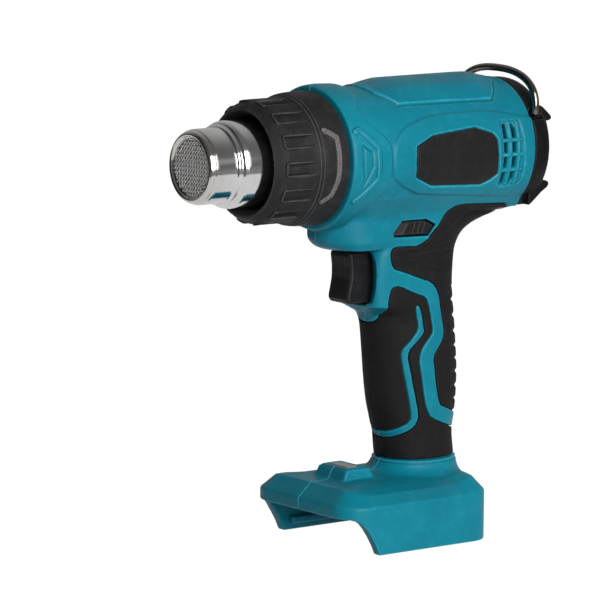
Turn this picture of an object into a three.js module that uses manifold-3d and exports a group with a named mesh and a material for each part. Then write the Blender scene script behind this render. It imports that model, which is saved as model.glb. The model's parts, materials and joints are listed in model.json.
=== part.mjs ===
// Cordless heat gun, bare tool without its battery. Millimetres, +Z up.
// The origin is on the resting plane of the foot, under the middle of the tool's overall length,
// on the parting plane of the clamshell (X = 0). Hot air leaves toward -Y; the tool's left is +X.
// The shapes are drawn with Y = 0 just ahead of the clamshell's front face, and the whole
// assembly is then moved by -MIDDLE_Y.
import * as THREE from "three";
import { mergeVertices } from "three/addons/utils/BufferGeometryUtils.js";
import { LoftGeometry } from "three/addons/geometries/LoftGeometry.js";
import Module from "manifold-3d";

const wasm = await Module();
wasm.setup();

// ---- driving dimensions ----------------------------------------------------------------------
const AXIS_Z = 183.3; // height of the barrel's centre line
const BARREL_R = 32.2;
const BARREL_FRONT = 5; // front face of the clamshell
const BARREL_REAR = 115; // rear face of the clamshell
const WALL = 2.6; // clamshell wall
const SPLIT = 0.15; // half of the gap between the two shells
const GAP = 0.3; // gap between fixed neighbours
const DECK_R = 35; // raised deck along the top of the barrel
const DECK_HALF_WIDTH = 21.5;
const RUBBER = 1.7; // thickness of the soft grip layer
const TUBE_R = 20.3; // wide part of the nozzle tube
const OUTLET_R = 17.5; // narrow part of the nozzle tube
const OUTLET_Y = -64.2; // front lip of the nozzle tube
const GUARD_FRONT = -34.4;
const GUARD_REAR = 4.5;
const CAP_FRONT = 115.35;
const CAP_REAR = 128.2;
const CAP_FEET_REAR = 131.6;
const FOOT_HALF = 39.25; // half width of the battery foot
const FOOT_REAR = 89.5;
const BAY_WALL = 4.9; // foot wall beside and behind the battery bay
const BAY_HALF = FOOT_HALF - BAY_WALL;
const BAY_TOP = 19.5;
const MIDDLE_Y = (OUTLET_Y + CAP_FEET_REAR) / 2;

// Hanging ring: hinge line, half distance between the legs, and centre-line heights of the wire
const BAIL = { y: 118, z: 199.5, half: 28, wireR: 1.8, archZ: 203.4, top: 219.2, power: 0.833 };

// Screw axes along X: Y, Z, and how far out from the middle their bosses reach
const SCREWS = {
  front: [21, 147.2, 15.4],
  deck_front: [53, 210.8, 14.5],
  deck_rear: [93, 210.8, 14.5],
  waist: [68.5, 157.2, 17],
  grip_upper: [69.6, 97.5, 14.6],
  grip_lower: [67, 62.5, 15],
  foot_front: [42, 25.6, 28.5],
  foot_rear: [79, 26.2, 20.5],
};
const SCREW_SEAT = -9; // X of the seat under each screw head
// Radii of the screws and of what surrounds them
const SCREW_R = { shank: 1.45, pilot: 1.9, head: 2.75, access: 3.2, boss: 3.7, rubber: 4.1 };

// ---- materials: base colour, roughness, and metalness where it isn't 0 -------------------------
const BLACK = 0x2b2b2d;
const STEEL = 0xb9bcc0;
const DARK_STEEL = 0x4a4640;
const FINISH = {
  housing: { color: 0x157c93, roughness: 0.45 },
  rubber: { color: 0x262427, roughness: 0.8 },
  plastic: { color: BLACK, roughness: 0.6 },
  endPlastic: { color: BLACK, roughness: 0.55 },
  lockPlastic: { color: BLACK, roughness: 0.5 },
  polishedSteel: { color: STEEL, roughness: 0.15, metalness: 1 },
  steel: { color: STEEL, roughness: 0.3, metalness: 1 },
  meshSteel: { color: STEEL, roughness: 0.35, metalness: 1 },
  darkSteel: { color: DARK_STEEL, roughness: 0.5, metalness: 1 },
  ringSteel: { color: DARK_STEEL, roughness: 0.3, metalness: 1 },
  screw: { color: 0x8c8f93, roughness: 0.35, metalness: 1 },
  sleeve: { color: 0xcfc6ac, roughness: 0.8 },
  ceramic: { color: 0xe6e0d2, roughness: 0.9 },
  coil: { color: 0x8a8078, roughness: 0.4, metalness: 1 },
  cutout: { color: 0x9a9da0, roughness: 0.4, metalness: 1 },
  motor: { color: 0xa6a8aa, roughness: 0.35, metalness: 1 },
  impeller: { color: 0x33363a, roughness: 0.5 },
  filter: { color: 0x5a5c5e, roughness: 0.7, metalness: 0.4 },
  switchBody: { color: 0x1f1f21, roughness: 0.6 },
  board: { color: 0x1d5a34, roughness: 0.6 },
  window: { color: 0xa8a9a5, roughness: 0.4 },
  terminalBlock: { color: 0x1b1b1d, roughness: 0.6 },
  terminal: { color: 0xb98a4a, roughness: 0.3, metalness: 1 },
  redLead: { color: 0x9c2420, roughness: 0.5 },
  blackLead: { color: 0x1a1a1a, roughness: 0.5 },
  heaterLead: { color: 0xd8d4c8, roughness: 0.6 },
};

// ---- meshes and solids -----------------------------------------------------------------------
const manifoldOf = (vertProperties, triVerts) =>
  new wasm.Manifold(new wasm.Mesh({ numProp: 3, vertProperties, triVerts }));

// Turns every triangle over, in place.
function flip(triangles) {
  for (let i = 0; i < triangles.length; i += 3) {
    [triangles[i + 1], triangles[i + 2]] = [triangles[i + 2], triangles[i + 1]];
  }
  return triangles;
}

// The geometry's positions and triangles, with near-equal vertices merged.
function weld(geometry, tolerance) {
  const loose = geometry.index ? geometry.toNonIndexed() : geometry;
  const bare = new THREE.BufferGeometry();
  bare.setAttribute("position", loose.getAttribute("position"));
  const merged = mergeVertices(bare, tolerance);
  return [merged.attributes.position.array, new Uint32Array(merged.index.array)];
}

// A closed geometry as a manifold solid, with its faces turned outward.
function solid(geometry) {
  const [positions, triangles] = weld(geometry, 1e-4);
  const made = manifoldOf(positions, triangles);
  return made.volume() < 0 ? manifoldOf(positions, flip(triangles)) : made;
}

function geometryOf(shape) {
  const { numProp, numVert, vertProperties, triVerts } = shape.getMesh();
  const positions = new Float32Array(numVert * 3);
  for (let i = 0; i < numVert; i++) {
    positions.set(vertProperties.subarray(i * numProp, i * numProp + 3), i * 3);
  }
  const geometry = new THREE.BufferGeometry();
  geometry.setAttribute("position", new THREE.BufferAttribute(positions, 3));
  geometry.setIndex(new THREE.BufferAttribute(new Uint32Array(triVerts), 1));
  geometry.computeVertexNormals();
  return geometry;
}

const join = (...shapes) => shapes.reduce((a, b) => a.add(b));

// The shape reflected in the plane X = 0.
function mirror(shape) {
  const geometry = geometryOf(shape).scale(-1, 1, 1);
  return manifoldOf(geometry.attributes.position.array, flip(geometry.index.array));
}

// Welds the slivers left by the cuts and keeps the largest body.
function clean(shape) {
  for (let pass = 0; pass < 2; pass++) {
    const bodies = manifoldOf(...weld(geometryOf(shape), 1e-3)).decompose();
    shape = bodies.sort((a, b) => b.volume() - a.volume())[0];
  }
  return shape;
}

// ---- basic shapes ----------------------------------------------------------------------------
const X = new THREE.Vector3(1, 0, 0);
const Y = new THREE.Vector3(0, 1, 0);
const Z = new THREE.Vector3(0, 0, 1);

// An outline in the plane of two axes, drawn out along the third.
function prism(outline, across, up, along, from, to) {
  const shape = new THREE.Shape(outline.map(([a, b]) => new THREE.Vector2(a, b)));
  const geometry = new THREE.ExtrudeGeometry(shape, { depth: to - from, bevelEnabled: false });
  const place = new THREE.Matrix4().makeBasis(across, up, along);
  place.setPosition(along.clone().multiplyScalar(from));
  return solid(geometry.applyMatrix4(place));
}
const prismX = (outlineYZ, x0, x1) => prism(outlineYZ, Y, Z, X, x0, x1);
const prismY = (outlineXZ, y0, y1) => prism(outlineXZ, X, Z, Y.clone().negate(), -y1, -y0);
const prismZ = (outlineXY, z0, z1) => prism(outlineXY, X, Y, Z, z0, z1);

// A (Y, R) profile turned about the barrel's centre line; it is closed unless it ends on the line.
function turned(profile, segments = 32) {
  const points = profile.map(([y, r]) => new THREE.Vector2(r, y));
  if (profile[0][1] !== 0 || profile.at(-1)[1] !== 0) points.push(points[0].clone());
  return solid(new THREE.LatheGeometry(points, segments).translate(0, 0, AXIS_Z));
}
// A plain tube about the centre line, or a cylinder if the inner radius is 0.
const tube = (y0, y1, inner, outer, segments) =>
  turned([[y0, inner], [y0, outer], [y1, outer], [y1, inner]], segments);

function box(x0, x1, y0, y1, z0, z1) {
  const geometry = new THREE.BoxGeometry(x1 - x0, y1 - y0, z1 - z0);
  return solid(geometry.translate((x0 + x1) / 2, (y0 + y1) / 2, (z0 + z1) / 2));
}
function rodX(x0, x1, y, z, r, segments = 10) {
  const geometry = new THREE.CylinderGeometry(r, r, x1 - x0, segments).rotateZ(Math.PI / 2);
  return solid(geometry.translate((x0 + x1) / 2, y, z));
}
const rodY = (y0, y1, x, z, r, segments) =>
  solid(new THREE.CylinderGeometry(r, r, y1 - y0, segments).translate(x, (y0 + y1) / 2, z));

// The X range between two distances from the middle, on the left (side 1) or the right (-1).
const span = (side, inner, outer) => (side > 0 ? [inner, outer] : [-outer, -inner]);

// A block between two angles from the top, two radii and two Y positions.
function radialBlock(y0, y1, degrees0, degrees1, r0, r1) {
  const point = (r, degrees) => {
    const angle = (degrees * Math.PI) / 180;
    return [r * Math.sin(angle), AXIS_Z + r * Math.cos(angle)];
  };
  const outline = [
    point(r0, degrees0), point(r1, degrees0), point(r1, degrees1), point(r0, degrees1),
  ];
  return prismY(outline, y0, y1);
}

// A round wire along a curve.
function wire(curve, r, steps, sides = 6) {
  const circle = Array.from({ length: sides }, (_, i) => {
    const angle = (2 * Math.PI * i) / sides;
    return new THREE.Vector2(r * Math.cos(angle), r * Math.sin(angle));
  });
  const options = { steps, bevelEnabled: false, extrudePath: curve };
  return solid(new THREE.ExtrudeGeometry(new THREE.Shape(circle), options));
}
const curveThrough = (points) =>
  new THREE.CatmullRomCurve3(points.map((p) => new THREE.Vector3(...p)), false, "centripetal");

// A helix that advances along +Y.
class Helix extends THREE.Curve {
  constructor(size) {
    super();
    this.size = size;
  }
  getPoint(t, target = new THREE.Vector3()) {
    const { radius, turns, start, travel, z } = this.size;
    const angle = t * 2 * Math.PI * turns;
    return target.set(
      radius * Math.cos(angle), start + travel * t, z + radius * Math.sin(angle),
    );
  }
}

// An outline moved inward (distance > 0) or outward (distance < 0), corner by corner.
function inset(outline, distance) {
  const count = outline.length;
  let area = 0;
  outline.forEach(([a, b], i) => {
    const [c, d] = outline[(i + 1) % count];
    area += a * d - c * b;
  });
  const turn = area > 0 ? 1 : -1;
  const normal = (from, to) => {
    const a = to[0] - from[0];
    const b = to[1] - from[1];
    const length = Math.hypot(a, b);
    return [(-b / length) * turn, (a / length) * turn];
  };
  return outline.map((point, i) => {
    const before = normal(outline[(i + count - 1) % count], point);
    const after = normal(point, outline[(i + 1) % count]);
    // The floor keeps sharp corners from running away.
    const reach = Math.max(0.35, 1 + before[0] * after[0] + before[1] * after[1]);
    return point.map((value, k) => value + (distance * (before[k] + after[k])) / reach);
  });
}

// One ring of a loft: a rounded rectangle whose corners are quarter super-ellipses. A station is:
// Z, half width, front Y, rear Y, front corners' half axes in X and Y, rear corners' half axes
// in X and Y, and the powers of the front and rear corners.
function ring(station, cornerPoints) {
  const [z, half, front, rear, frontX, frontY, rearX, rearY] = station;
  const [frontPower = 2, rearPower = 2] = station.slice(8);
  const ease = 0.004; // angle that holds the ends of neighbouring corners apart
  const points = [];
  const corner = (quadrant, x, y, a, b, power) => {
    const start = (quadrant * Math.PI) / 2 + ease;
    const end = ((quadrant + 1) * Math.PI) / 2 - ease;
    const bulge = (value) => Math.sign(value) * Math.abs(value) ** (2 / power);
    for (let i = 0; i < cornerPoints; i++) {
      const t = start + ((end - start) * i) / (cornerPoints - 1);
      points.push(new THREE.Vector3(x + a * bulge(Math.cos(t)), y + b * bulge(Math.sin(t)), z));
    }
  };
  corner(0, half - rearX, rear - rearY, rearX, rearY, rearPower);
  corner(1, -half + rearX, rear - rearY, rearX, rearY, rearPower);
  corner(2, -half + frontX, front + frontY, frontX, frontY, frontPower);
  corner(3, half - frontX, front + frontY, frontX, frontY, frontPower);
  return points;
}
function loftGeometry(stations, cornerPoints = 4) {
  const rings = stations.map((station) => ring(station, cornerPoints));
  return new LoftGeometry(rings, { capStart: true, capEnd: true });
}
const loft = (stations, cornerPoints) => solid(loftGeometry(stations, cornerPoints));

// ---- assembly --------------------------------------------------------------------------------
const heatGun = new THREE.Group();
heatGun.name = "heat_gun";
const assembly = new THREE.Group();
assembly.position.y = -MIDDLE_Y;
heatGun.add(assembly);

function add(name, shape, finish) {
  const part = new THREE.Mesh(geometryOf(clean(shape)), new THREE.MeshStandardMaterial(finish));
  part.name = name;
  assembly.add(part);
}

// ---- grip ------------------------------------------------------------------------------------
// Sections up the grip: Z, front Y, rear Y, half width, power of the front corners
const GRIP = [
  [36.6, 49.5, 88.6, 17, 2.1], [48.5, 48, 87.2, 17, 2.1], [57, 45.5, 89, 17.1, 2.1],
  [68, 42.8, 90.4, 17.2, 2.1], [91.5, 40.4, 89.8, 17.5, 2.1], [102, 38.6, 88.8, 17.6, 2.1],
  [107, 36.6, 88.2, 17.7, 2.2], [111.2, 30.6, 87.5, 17.9, 2.8], [112.4, 34.6, 87.4, 17.9, 3],
  [134, 34.4, 87, 18.8, 3.6], [141, 33, 89.8, 19.2, 3.4], [146, 31.8, 95.8, 19.3, 3],
  [150, 30, 107.5, 19.2, 2.4], [151.6, 30, 113.8, 19, 2.2], [156, 30, 114.2, 18.8, 2.2],
];
const GRIP_REAR_POWER = 2.1;
const GRIP_MIDDLE_Y = 66; // centre the grip is scaled about
const CORE_HALF = { x: 15.3, y: 22 }; // nominal half sizes that turn the gap into a scale

// Loft stations of the grip, at a depth under its outer surface.
const gripStations = (depth) =>
  GRIP.map(([z, front, rear, outerHalf, power]) => {
    const half = outerHalf - depth;
    const middle = z > 140 ? 62 : (front + rear) / 2;
    return [
      z, half, front + depth, rear - depth, half, middle - front - depth,
      half, rear - middle - depth, power, GRIP_REAR_POWER,
    ];
  });
function grownGrip(depth, growX, growY) {
  const geometry = loftGeometry(gripStations(depth)).translate(0, -GRIP_MIDDLE_Y, 0);
  return solid(geometry.scale(1 + growX, 1 + growY, 1).translate(0, GRIP_MIDDLE_Y, 0));
}
const gripOuter = loft(gripStations(0));
const gripCore = loft(gripStations(RUBBER));
// Every other station, without the top one
const gripHollow = loft(
  gripStations(RUBBER + WALL).filter((_, i) => i % 2 === 0 && i < GRIP.length - 1), 3,
);
// The recess layer reaches past the outer surface, so that the recess is cut clean.
const recessLayer = grownGrip(0, 0.03, 0.03).subtract(gripCore);
const rubberLayer = gripOuter.subtract(grownGrip(RUBBER, GAP / CORE_HALF.x, GAP / CORE_HALF.y));

// Outlines (Y, Z) of the soft layer in side view. The rear field covers the back of the grip,
// a patch reaching forward above it, and the tail under the barrel.
const REAR_FIELD = [
  [116, 157.2], [80.6, 158.3], [72.2, 155.5], [66.8, 148.3], [62.7, 142.6], [57.6, 139.9],
  [42, 140.2], [39.3, 137], [39.3, 134], [41.9, 130.5], [62.5, 123.2], [67.8, 119.2],
  [70.6, 110], [72.6, 101], [71.4, 92.8], [66.9, 86], [69.8, 65], [72.4, 61.9],
  [78, 59.4], [96, 54.6], [96, 95], [92, 130], [98, 146], [116, 150],
];
// The front field covers the front of the grip, a strip up each side and the band round the bottom.
const FRONT_FIELD = [
  [30, 103.6], [41.5, 104.6], [46.6, 108.6], [49.8, 118], [53, 120.8], [61.4, 116],
  [64.8, 108.6], [66.8, 99], [65.8, 95.6], [58.8, 87.4], [58.5, 83.6], [63.7, 60.6],
  [68.2, 55.8], [78.2, 51.8], [96, 47], [96, 30], [40, 30], [40, 48.6],
  [45.3, 48.6], [54.4, 51.8], [58.1, 56.2], [52.2, 85.4], [52.6, 88.4], [60.9, 98.6],
  [58.9, 109.6], [57.2, 111.1], [55.7, 109.1], [57, 100.6], [47.7, 89.2], [47.4, 87.6],
  [53.6, 58], [51.6, 55.2], [40, 51.2], [30, 60],
];
const BAND_FLOOR = 38; // keeps the band clear of the collar of the foot

// ---- clamshell -------------------------------------------------------------------------------
// Block under the front of the barrel, above the trigger: (Y, Z) outline
const BLOCK = [
  [9.4, 165], [8.8, 152.5], [8.9, 146.4], [10.2, 143.6], [12.6, 141.4], [16.6, 140],
  [40, 139.6], [60, 139.6], [78, 150], [88, 165],
];
// (X, Y) plan of the block, with a round front
function blockPlan(depth) {
  const half = 19.3 - depth;
  const noseY = 28;
  const noseLength = 19.2 - depth;
  const nose = Array.from({ length: 11 }, (_, i) => {
    const angle = Math.PI + (Math.PI * (i + 1)) / 12;
    return [half * Math.cos(angle), noseY + noseLength * Math.sin(angle)];
  });
  return [[-half, 90], [-half, noseY], ...nose, [half, noseY], [half, 90]];
}
const blockOf = (outline, depth) =>
  prismX(outline, -25, 25).intersect(prismZ(blockPlan(depth), 130, 170));

function batteryFoot() {
  const foot = loft([
    [0, FOOT_HALF, 0, FOOT_REAR, 14, 14, 28, 20.8],
    [24.2, FOOT_HALF, 0, FOOT_REAR, 14, 14, 28, 20.8],
    [27.9, 34.3, 4.6, 89.3, 12.5, 12.5, 25, 20.4],
    [31, 27, 8.4, 89.3, 12, 12, 22, 20],
    [32, 23.5, 24, 89.5, 20, 20, 20.5, 20],
    [34, 20.4, 44.6, 89.8, 20.4, 22, 20.4, 21],
    [36.8, 18.7, 48.2, 89.7, 18.7, 20.6, 18.7, 20.6],
  ]);
  // Curved cut under the front of the foot
  const frontCut = [
    [-10, 17.7], [1, 17.7], [5.2, 17], [9.4, 14.6], [12.6, 11], [15.4, 6.2], [18.2, -1], [-10, -1],
  ];
  return foot.subtract(prismX(frontCut, -60, 60));
}

function housingBody() {
  const barrel = turned([
    [BARREL_FRONT, 0], [BARREL_FRONT, 33.1], [6.5, 34.1], [19, 34.2], [24.2, BARREL_R],
    [114.2, 32], [BARREL_REAR, 31.5], [BARREL_REAR, 0],
  ]);
  const deck = turned([
    [36, 0], [36, 31], [38, 32.2], [43, 34.2], [47.5, DECK_R], [98.3, DECK_R],
    [106.6, 32.1], [108, 31], [108, 0],
  ]).intersect(box(-DECK_HALF_WIDTH, DECK_HALF_WIDTH, 30, 112, 200, 230));
  // Raised seat of the indicator window, on top of the foot
  const bump = loft([
    [30.5, 11.2, 18.4, 36.2, 2, 2, 2, 2],
    [33, 10.4, 19.8, 35.2, 2, 2, 2, 2],
    [36, 8.4, 22.4, 33.2, 2, 2, 2, 2],
  ], 3);
  return join(barrel, deck, blockOf(BLOCK, 0), gripOuter, batteryFoot(), bump);
}

function housingHollow() {
  const footHollow = loft([
    [BAY_TOP + 2.2, BAY_HALF, 3.4, FOOT_REAR - 3, 11, 11, 25, 18],
    [23.6, BAY_HALF, 3.4, FOOT_REAR - 3, 11, 11, 25, 18],
    [28.2, 25, 11, 86.4, 11, 11, 20, 18],
    [29.2, 21, 26, 86.4, 18, 18, 18, 18],
    [32, 14, 52, 85, 14, 15, 14, 15],
    [38, 12.7, 53.8, 84.3, 12.7, 15, 12.7, 15],
  ]);
  const blockInside = inset(BLOCK, WALL).map(([y, z]) => [y, Math.min(z, 163)]);
  return join(
    tube(7.8, 118, 0, BARREL_R - WALL),
    blockOf(blockInside, WALL),
    gripHollow,
    footHollow,
    box(-12, 12, 44, 80, 136, 160), // opens the grip into the block
  );
}

const LOCK_WINDOW = [
  [39.8, 146.9], [45.3, 152.7], [59.8, 152.6], [65.8, 149.6], [61.6, 144.6], [41, 145.2],
];

// Side vents: ranges of degrees from the top, and ranges of Y
const VENT_ANGLES = [[67, 78], [82, 90], [94, 103], [106, 118]];
const VENT_YS = [[95, 97.2], [100, 102.2]];
const leftVents = () =>
  join(...VENT_YS.flatMap(([y0, y1]) =>
    VENT_ANGLES.map(([from, to]) => radialBlock(y0, y1, from, to, 25, 40))));

// Badge outline: Y and degrees from the top. It is drawn on the side plane and cut out of a thin
// shell, so the badge follows the barrel.
const BADGE_R = 33.4;
const BADGE = [
  [43, 80], [53.5, 72], [79.1, 68], [89, 74], [91.4, 79], [92.6, 108], [88.8, 113],
  [83.6, 117], [53.6, 114], [43.1, 105], [42.5, 92],
].map(([y, degrees]) => [y, AXIS_Z + BADGE_R * Math.cos((degrees * Math.PI) / 180)]);
const badgeShell = (inner, outer, outline) =>
  tube(38, 96, inner, outer, 96).intersect(prismX(outline, 5, 45));

function housing() {
  const bosses = Object.values(SCREWS).map(([y, z, reach]) =>
    rodX(-reach, reach, y, z, SCREW_R.boss, 8));
  const rib = tube(64, 66, 22.6, 30.4, 20);
  const fields = join(prismX(REAR_FIELD, -40, 40), prismX(FRONT_FIELD, -40, 40));
  const recess = recessLayer
    .intersect(fields)
    .intersect(box(-40, 40, 20, 130, BAND_FLOOR - GAP, 170));
  const bay = loft([-5, BAY_TOP].map((z) =>
    [z, BAY_HALF, -10, FOOT_REAR - BAY_WALL, 2, 2, 24, 17.5]));
  const rail = (side) => box(...span(side, 30.2, 35.2), 20, 66, 3.6, 6.8);
  const vents = leftVents();
  const badgePocket = badgeShell(31.4, 40, inset(BADGE, -GAP));

  let shell = join(housingBody().subtract(housingHollow()), join(...bosses), rib)
    .subtract(rodY(0, 20, 0, AXIS_Z, 23.6, 40)) // front opening
    .subtract(box(-8.6, 8.6, 0, 47, 112.2, 138.4)) // trigger opening
    .subtract(prismX(LOCK_WINDOW, -30, 30))
    .subtract(bay)
    .subtract(box(-6.9, 6.9, 23.3, 30.3, 26, 45)) // indicator window
    .subtract(box(-9, 9, 52, 66, 18, 24)) // port over the terminal block
    .subtract(recess);
  shell = join(shell, rail(1), rail(-1))
    .subtract(join(vents, mirror(vents)))
    .subtract(join(badgePocket, mirror(badgePocket)));
  // Access bore in the right shell, then the hole for the shank through to the left shell
  for (const [y, z] of Object.values(SCREWS)) {
    shell = shell
      .subtract(rodX(-60, SCREW_SEAT, y, z, SCREW_R.access))
      .subtract(rodX(SCREW_SEAT - 1, 9.5, y, z, SCREW_R.pilot, 6));
  }
  return shell;
}

// What lies on one side of the parting gap: side 1 is the left, -1 the right.
const halfOf = (shape, side) =>
  shape.subtract(box(...span(-side, -SPLIT, 200), -100, 200, -20, 260));

// One side of a soft field, clear of the barrel, the rear cap and the screw heads.
function softField(outline, side) {
  let field = rubberLayer
    .intersect(prismX(inset(outline, GAP), -40, 40))
    .intersect(box(-40, 40, 20, CAP_FRONT - GAP, BAND_FLOOR, 170))
    .subtract(tube(0, 130, 0, BARREL_R + GAP));
  for (const [y, z] of Object.values(SCREWS)) {
    field = field.subtract(rodX(-60, 0, y, z, SCREW_R.rubber));
  }
  return halfOf(field, side);
}

const shell = housing();
const aheadOfCap = box(-60, 60, -100, CAP_FRONT - GAP, -20, 260);
const SIDES = [["left", 1], ["right", -1]];
for (const [name, side] of SIDES) {
  add("housing_" + name, halfOf(shell, side).intersect(aheadOfCap), FINISH.housing);
}
for (const [field, outline] of [["rear", REAR_FIELD], ["front", FRONT_FIELD]]) {
  for (const [name, side] of SIDES) {
    add(`grip_${field}_${name}`, softField(outline, side), FINISH.rubber);
  }
}
const badge = badgeShell(31.7, BADGE_R, BADGE);
add("badge_left", badge, FINISH.plastic);
add("badge_right", mirror(badge), FINISH.plastic);

// ---- front guard and nozzle ------------------------------------------------------------------
// Ring with a funnel mouth, slots all round, a raised bracket on each side and a rear spigot
function frontGuard() {
  const body = turned([
    [GUARD_FRONT, 24.6], [-33.5, 25.9], [-31, 27.6], [-28.6, 28.7], [-16, 28.9], [-12, 29.6],
    [-8.4, 30.8], [GUARD_REAR, 31.5], [GUARD_REAR, 22.4], [-25, 21.4], [-28.4, 21.4],
  ]);
  const slots = Array.from({ length: 14 }, (_, i) => {
    const middle = 91.5 + (i * 360) / 14;
    return radialBlock(-29.2, -12.4, middle - 5.2, middle + 5.2, 27.4, 34);
  });
  const bracket = join(
    radialBlock(-3.2, -1, 63, 121, 30.4, 31.9),
    radialBlock(-7.6, -1, 58.5, 63.2, 30.4, 31.9),
    radialBlock(-7.6, -1, 120.8, 125.5, 30.4, 31.9),
  );
  const spigot = tube(4, 9.5, 22.4, 23.3);
  return join(body.subtract(join(...slots)), bracket, mirror(bracket), spigot);
}
add("front_guard", frontGuard(), FINISH.endPlastic);

add("nozzle_tube", turned([
  [-63.4, 14.1], [OUTLET_Y, 15.1], [-63, 16.4], [-61, OUTLET_R], [-49, OUTLET_R], [-49, 18.7],
  [-46, 19.3], [-44, TUBE_R], [-6, TUBE_R], [-6, 19.4], [-43.4, 19.4], [-48.2, 16.6],
  [-61.6, 16.6], [-61.6, 14.1],
]), FINISH.polishedSteel);
add("outlet_ring", turned([
  [-61.3, 13.2], [-61.3, 16.2], [-58.4, 16.2], [-58.4, 15.1], [-60, 13.2],
]), FINISH.darkSteel);

// Round plate with square holes on a grid
function outletMesh() {
  const pitch = 5.2;
  const half = 2; // half width of a hole
  let plate = rodY(-62.7, -61.9, 0, AXIS_Z, 13.6, 20);
  for (let i = -2; i <= 2; i++) {
    for (let j = -2; j <= 2; j++) {
      if (Math.hypot(i, j) >= 2.1) continue;
      const x = i * pitch;
      const z = AXIS_Z + j * pitch;
      plate = plate.subtract(box(x - half, x + half, -64, -60, z - half, z + half));
    }
  }
  return plate;
}
add("outlet_mesh", outletMesh(), FINISH.meshSteel);

// ---- heater ----------------------------------------------------------------------------------
add("heater_sleeve", tube(-42.4, 6, 18, 19), FINISH.sleeve);
add("heater_former", join( // cross-shaped
  box(-14.4, 14.4, -41, 2, AXIS_Z - 1, AXIS_Z + 1),
  box(-1, 1, -41, 2, AXIS_Z - 14.4, AXIS_Z + 14.4),
), FINISH.ceramic);
const coil = new Helix({ radius: 15.9, turns: 7, start: -40, travel: 38, z: AXIS_Z });
add("heater_coil", wire(coil, 0.55, 63, 4), FINISH.coil);

// Disc with a centre hole and six holes round it
function heaterDisc() {
  let disc = tube(2.4, 4, 4, 17.6, 20);
  for (let i = 0; i < 6; i++) {
    const angle = (i * Math.PI) / 3;
    const hole = rodY(0, 6, 11 * Math.cos(angle), AXIS_Z + 11 * Math.sin(angle), 3.4, 6);
    disc = disc.subtract(hole);
  }
  return disc;
}
add("heater_disc", heaterDisc(), FINISH.ceramic);
add("thermal_cutout", rodY(12, 18, 0, AXIS_Z + 13, 3.4, 16), FINISH.cutout);
add("air_duct", tube(14.2, 104, 21, 22.2, 28), FINISH.plastic);

// ---- fan -------------------------------------------------------------------------------------
const spokes = [45, 135, 225, 315].map((d) => radialBlock(70, 76, d - 3, d + 3, 13.6, 20.6));
add("motor_mount", join(tube(60, 86, 12.4, 14.2, 24), ...spokes), FINISH.plastic);
const motorCan = rodY(58, 88, 0, AXIS_Z, 12, 24);
const motorNose = rodY(88, 90, 0, AXIS_Z, 4, 20);
const shaftBore = rodY(70, 92, 0, AXIS_Z, 1.35, 12);
add("fan_motor", join(motorCan, motorNose).subtract(shaftBore), FINISH.motor);
add("motor_shaft", rodY(71, 102, 0, AXIS_Z, 1, 12), FINISH.steel);

// Hub and rear disc with a bore, and tilted blades
function impeller() {
  const bladeCount = 9;
  const hub = rodY(91.4, 100.5, 0, AXIS_Z, 5.2, 20);
  const disc = rodY(98.7, 100.5, 0, AXIS_Z, 19.6, 28);
  let wheel = join(hub, disc).subtract(rodY(90, 103, 0, AXIS_Z, 1.3, 12));
  for (let i = 0; i < bladeCount; i++) {
    const blade = new THREE.BoxGeometry(15, 7.6, 1.3).rotateY(0.45).translate(11.8, 95.2, 0);
    blade.rotateY((i * 2 * Math.PI) / bladeCount).translate(0, 0, AXIS_Z);
    wheel = join(wheel, solid(blade));
  }
  return wheel;
}
add("impeller", impeller(), FINISH.impeller);

// ---- rear cap and hanging ring ---------------------------------------------------------------
// (Y, Z) outlines of the upper and lower standing feet
const CAP_FEET = [
  [
    [122, 203], [124.5, 202.8], [126.2, 202], [CAP_FEET_REAR, 197.6], [CAP_FEET_REAR, 195.2],
    [127, 195], [122, 195],
  ],
  [
    [122, 160.4], [124.6, 161.6], [CAP_FEET_REAR, 164.2], [CAP_FEET_REAR, 166.6], [130, 167],
    [122, 167],
  ],
];

// A cup with four feet, two ears for the hanging ring and a slotted grille
function rearCap() {
  let cap = turned([
    [CAP_FRONT, 0], [CAP_FRONT, 31.5], [121, 31.4], [124.2, 30.5], [126.4, 28.6],
    [CAP_REAR, 25.4], [CAP_REAR, 0],
  ]);
  for (const outline of CAP_FEET) {
    for (const side of [1, -1]) cap = join(cap, prismX(outline, ...span(side, 18.5, 24.5)));
  }
  cap = cap.subtract(turned([
    [CAP_FRONT - 2, 0], [CAP_FRONT - 2, 28.9], [122, 28.9], [126, 25.6], [126, 0],
  ]));
  for (const side of [-1, 1]) {
    cap = join(cap, box(...span(side, 20.9, 25.9), 115.8, 122.6, 194, 202.4))
      .subtract(box(...span(side, 25.9, 36), 114, 134, 197.1, 205)) // room for the leg
      .subtract(rodX(...span(side, 23.2, 40), BAIL.y, BAIL.z, BAIL.wireR + 0.25, 20));
  }
  const pitch = 5.2;
  const half = 1.2; // half the width of a slot, and of the bar left across the middle
  for (let i = -2; i <= 2; i++) {
    const x = i * pitch;
    const reach = Math.sqrt(21 * 21 - x ** 2) * 0.62;
    cap = cap
      .subtract(box(x - half, x + half, 125, 131, AXIS_Z - reach, AXIS_Z - half))
      .subtract(box(x - half, x + half, 125, 131, AXIS_Z + half, AXIS_Z + reach));
  }
  return cap;
}
add("rear_cap", rearCap(), FINISH.endPlastic);
add("intake_filter", tube(123.4, 124.6, 0, 20.4), FINISH.filter);

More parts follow.
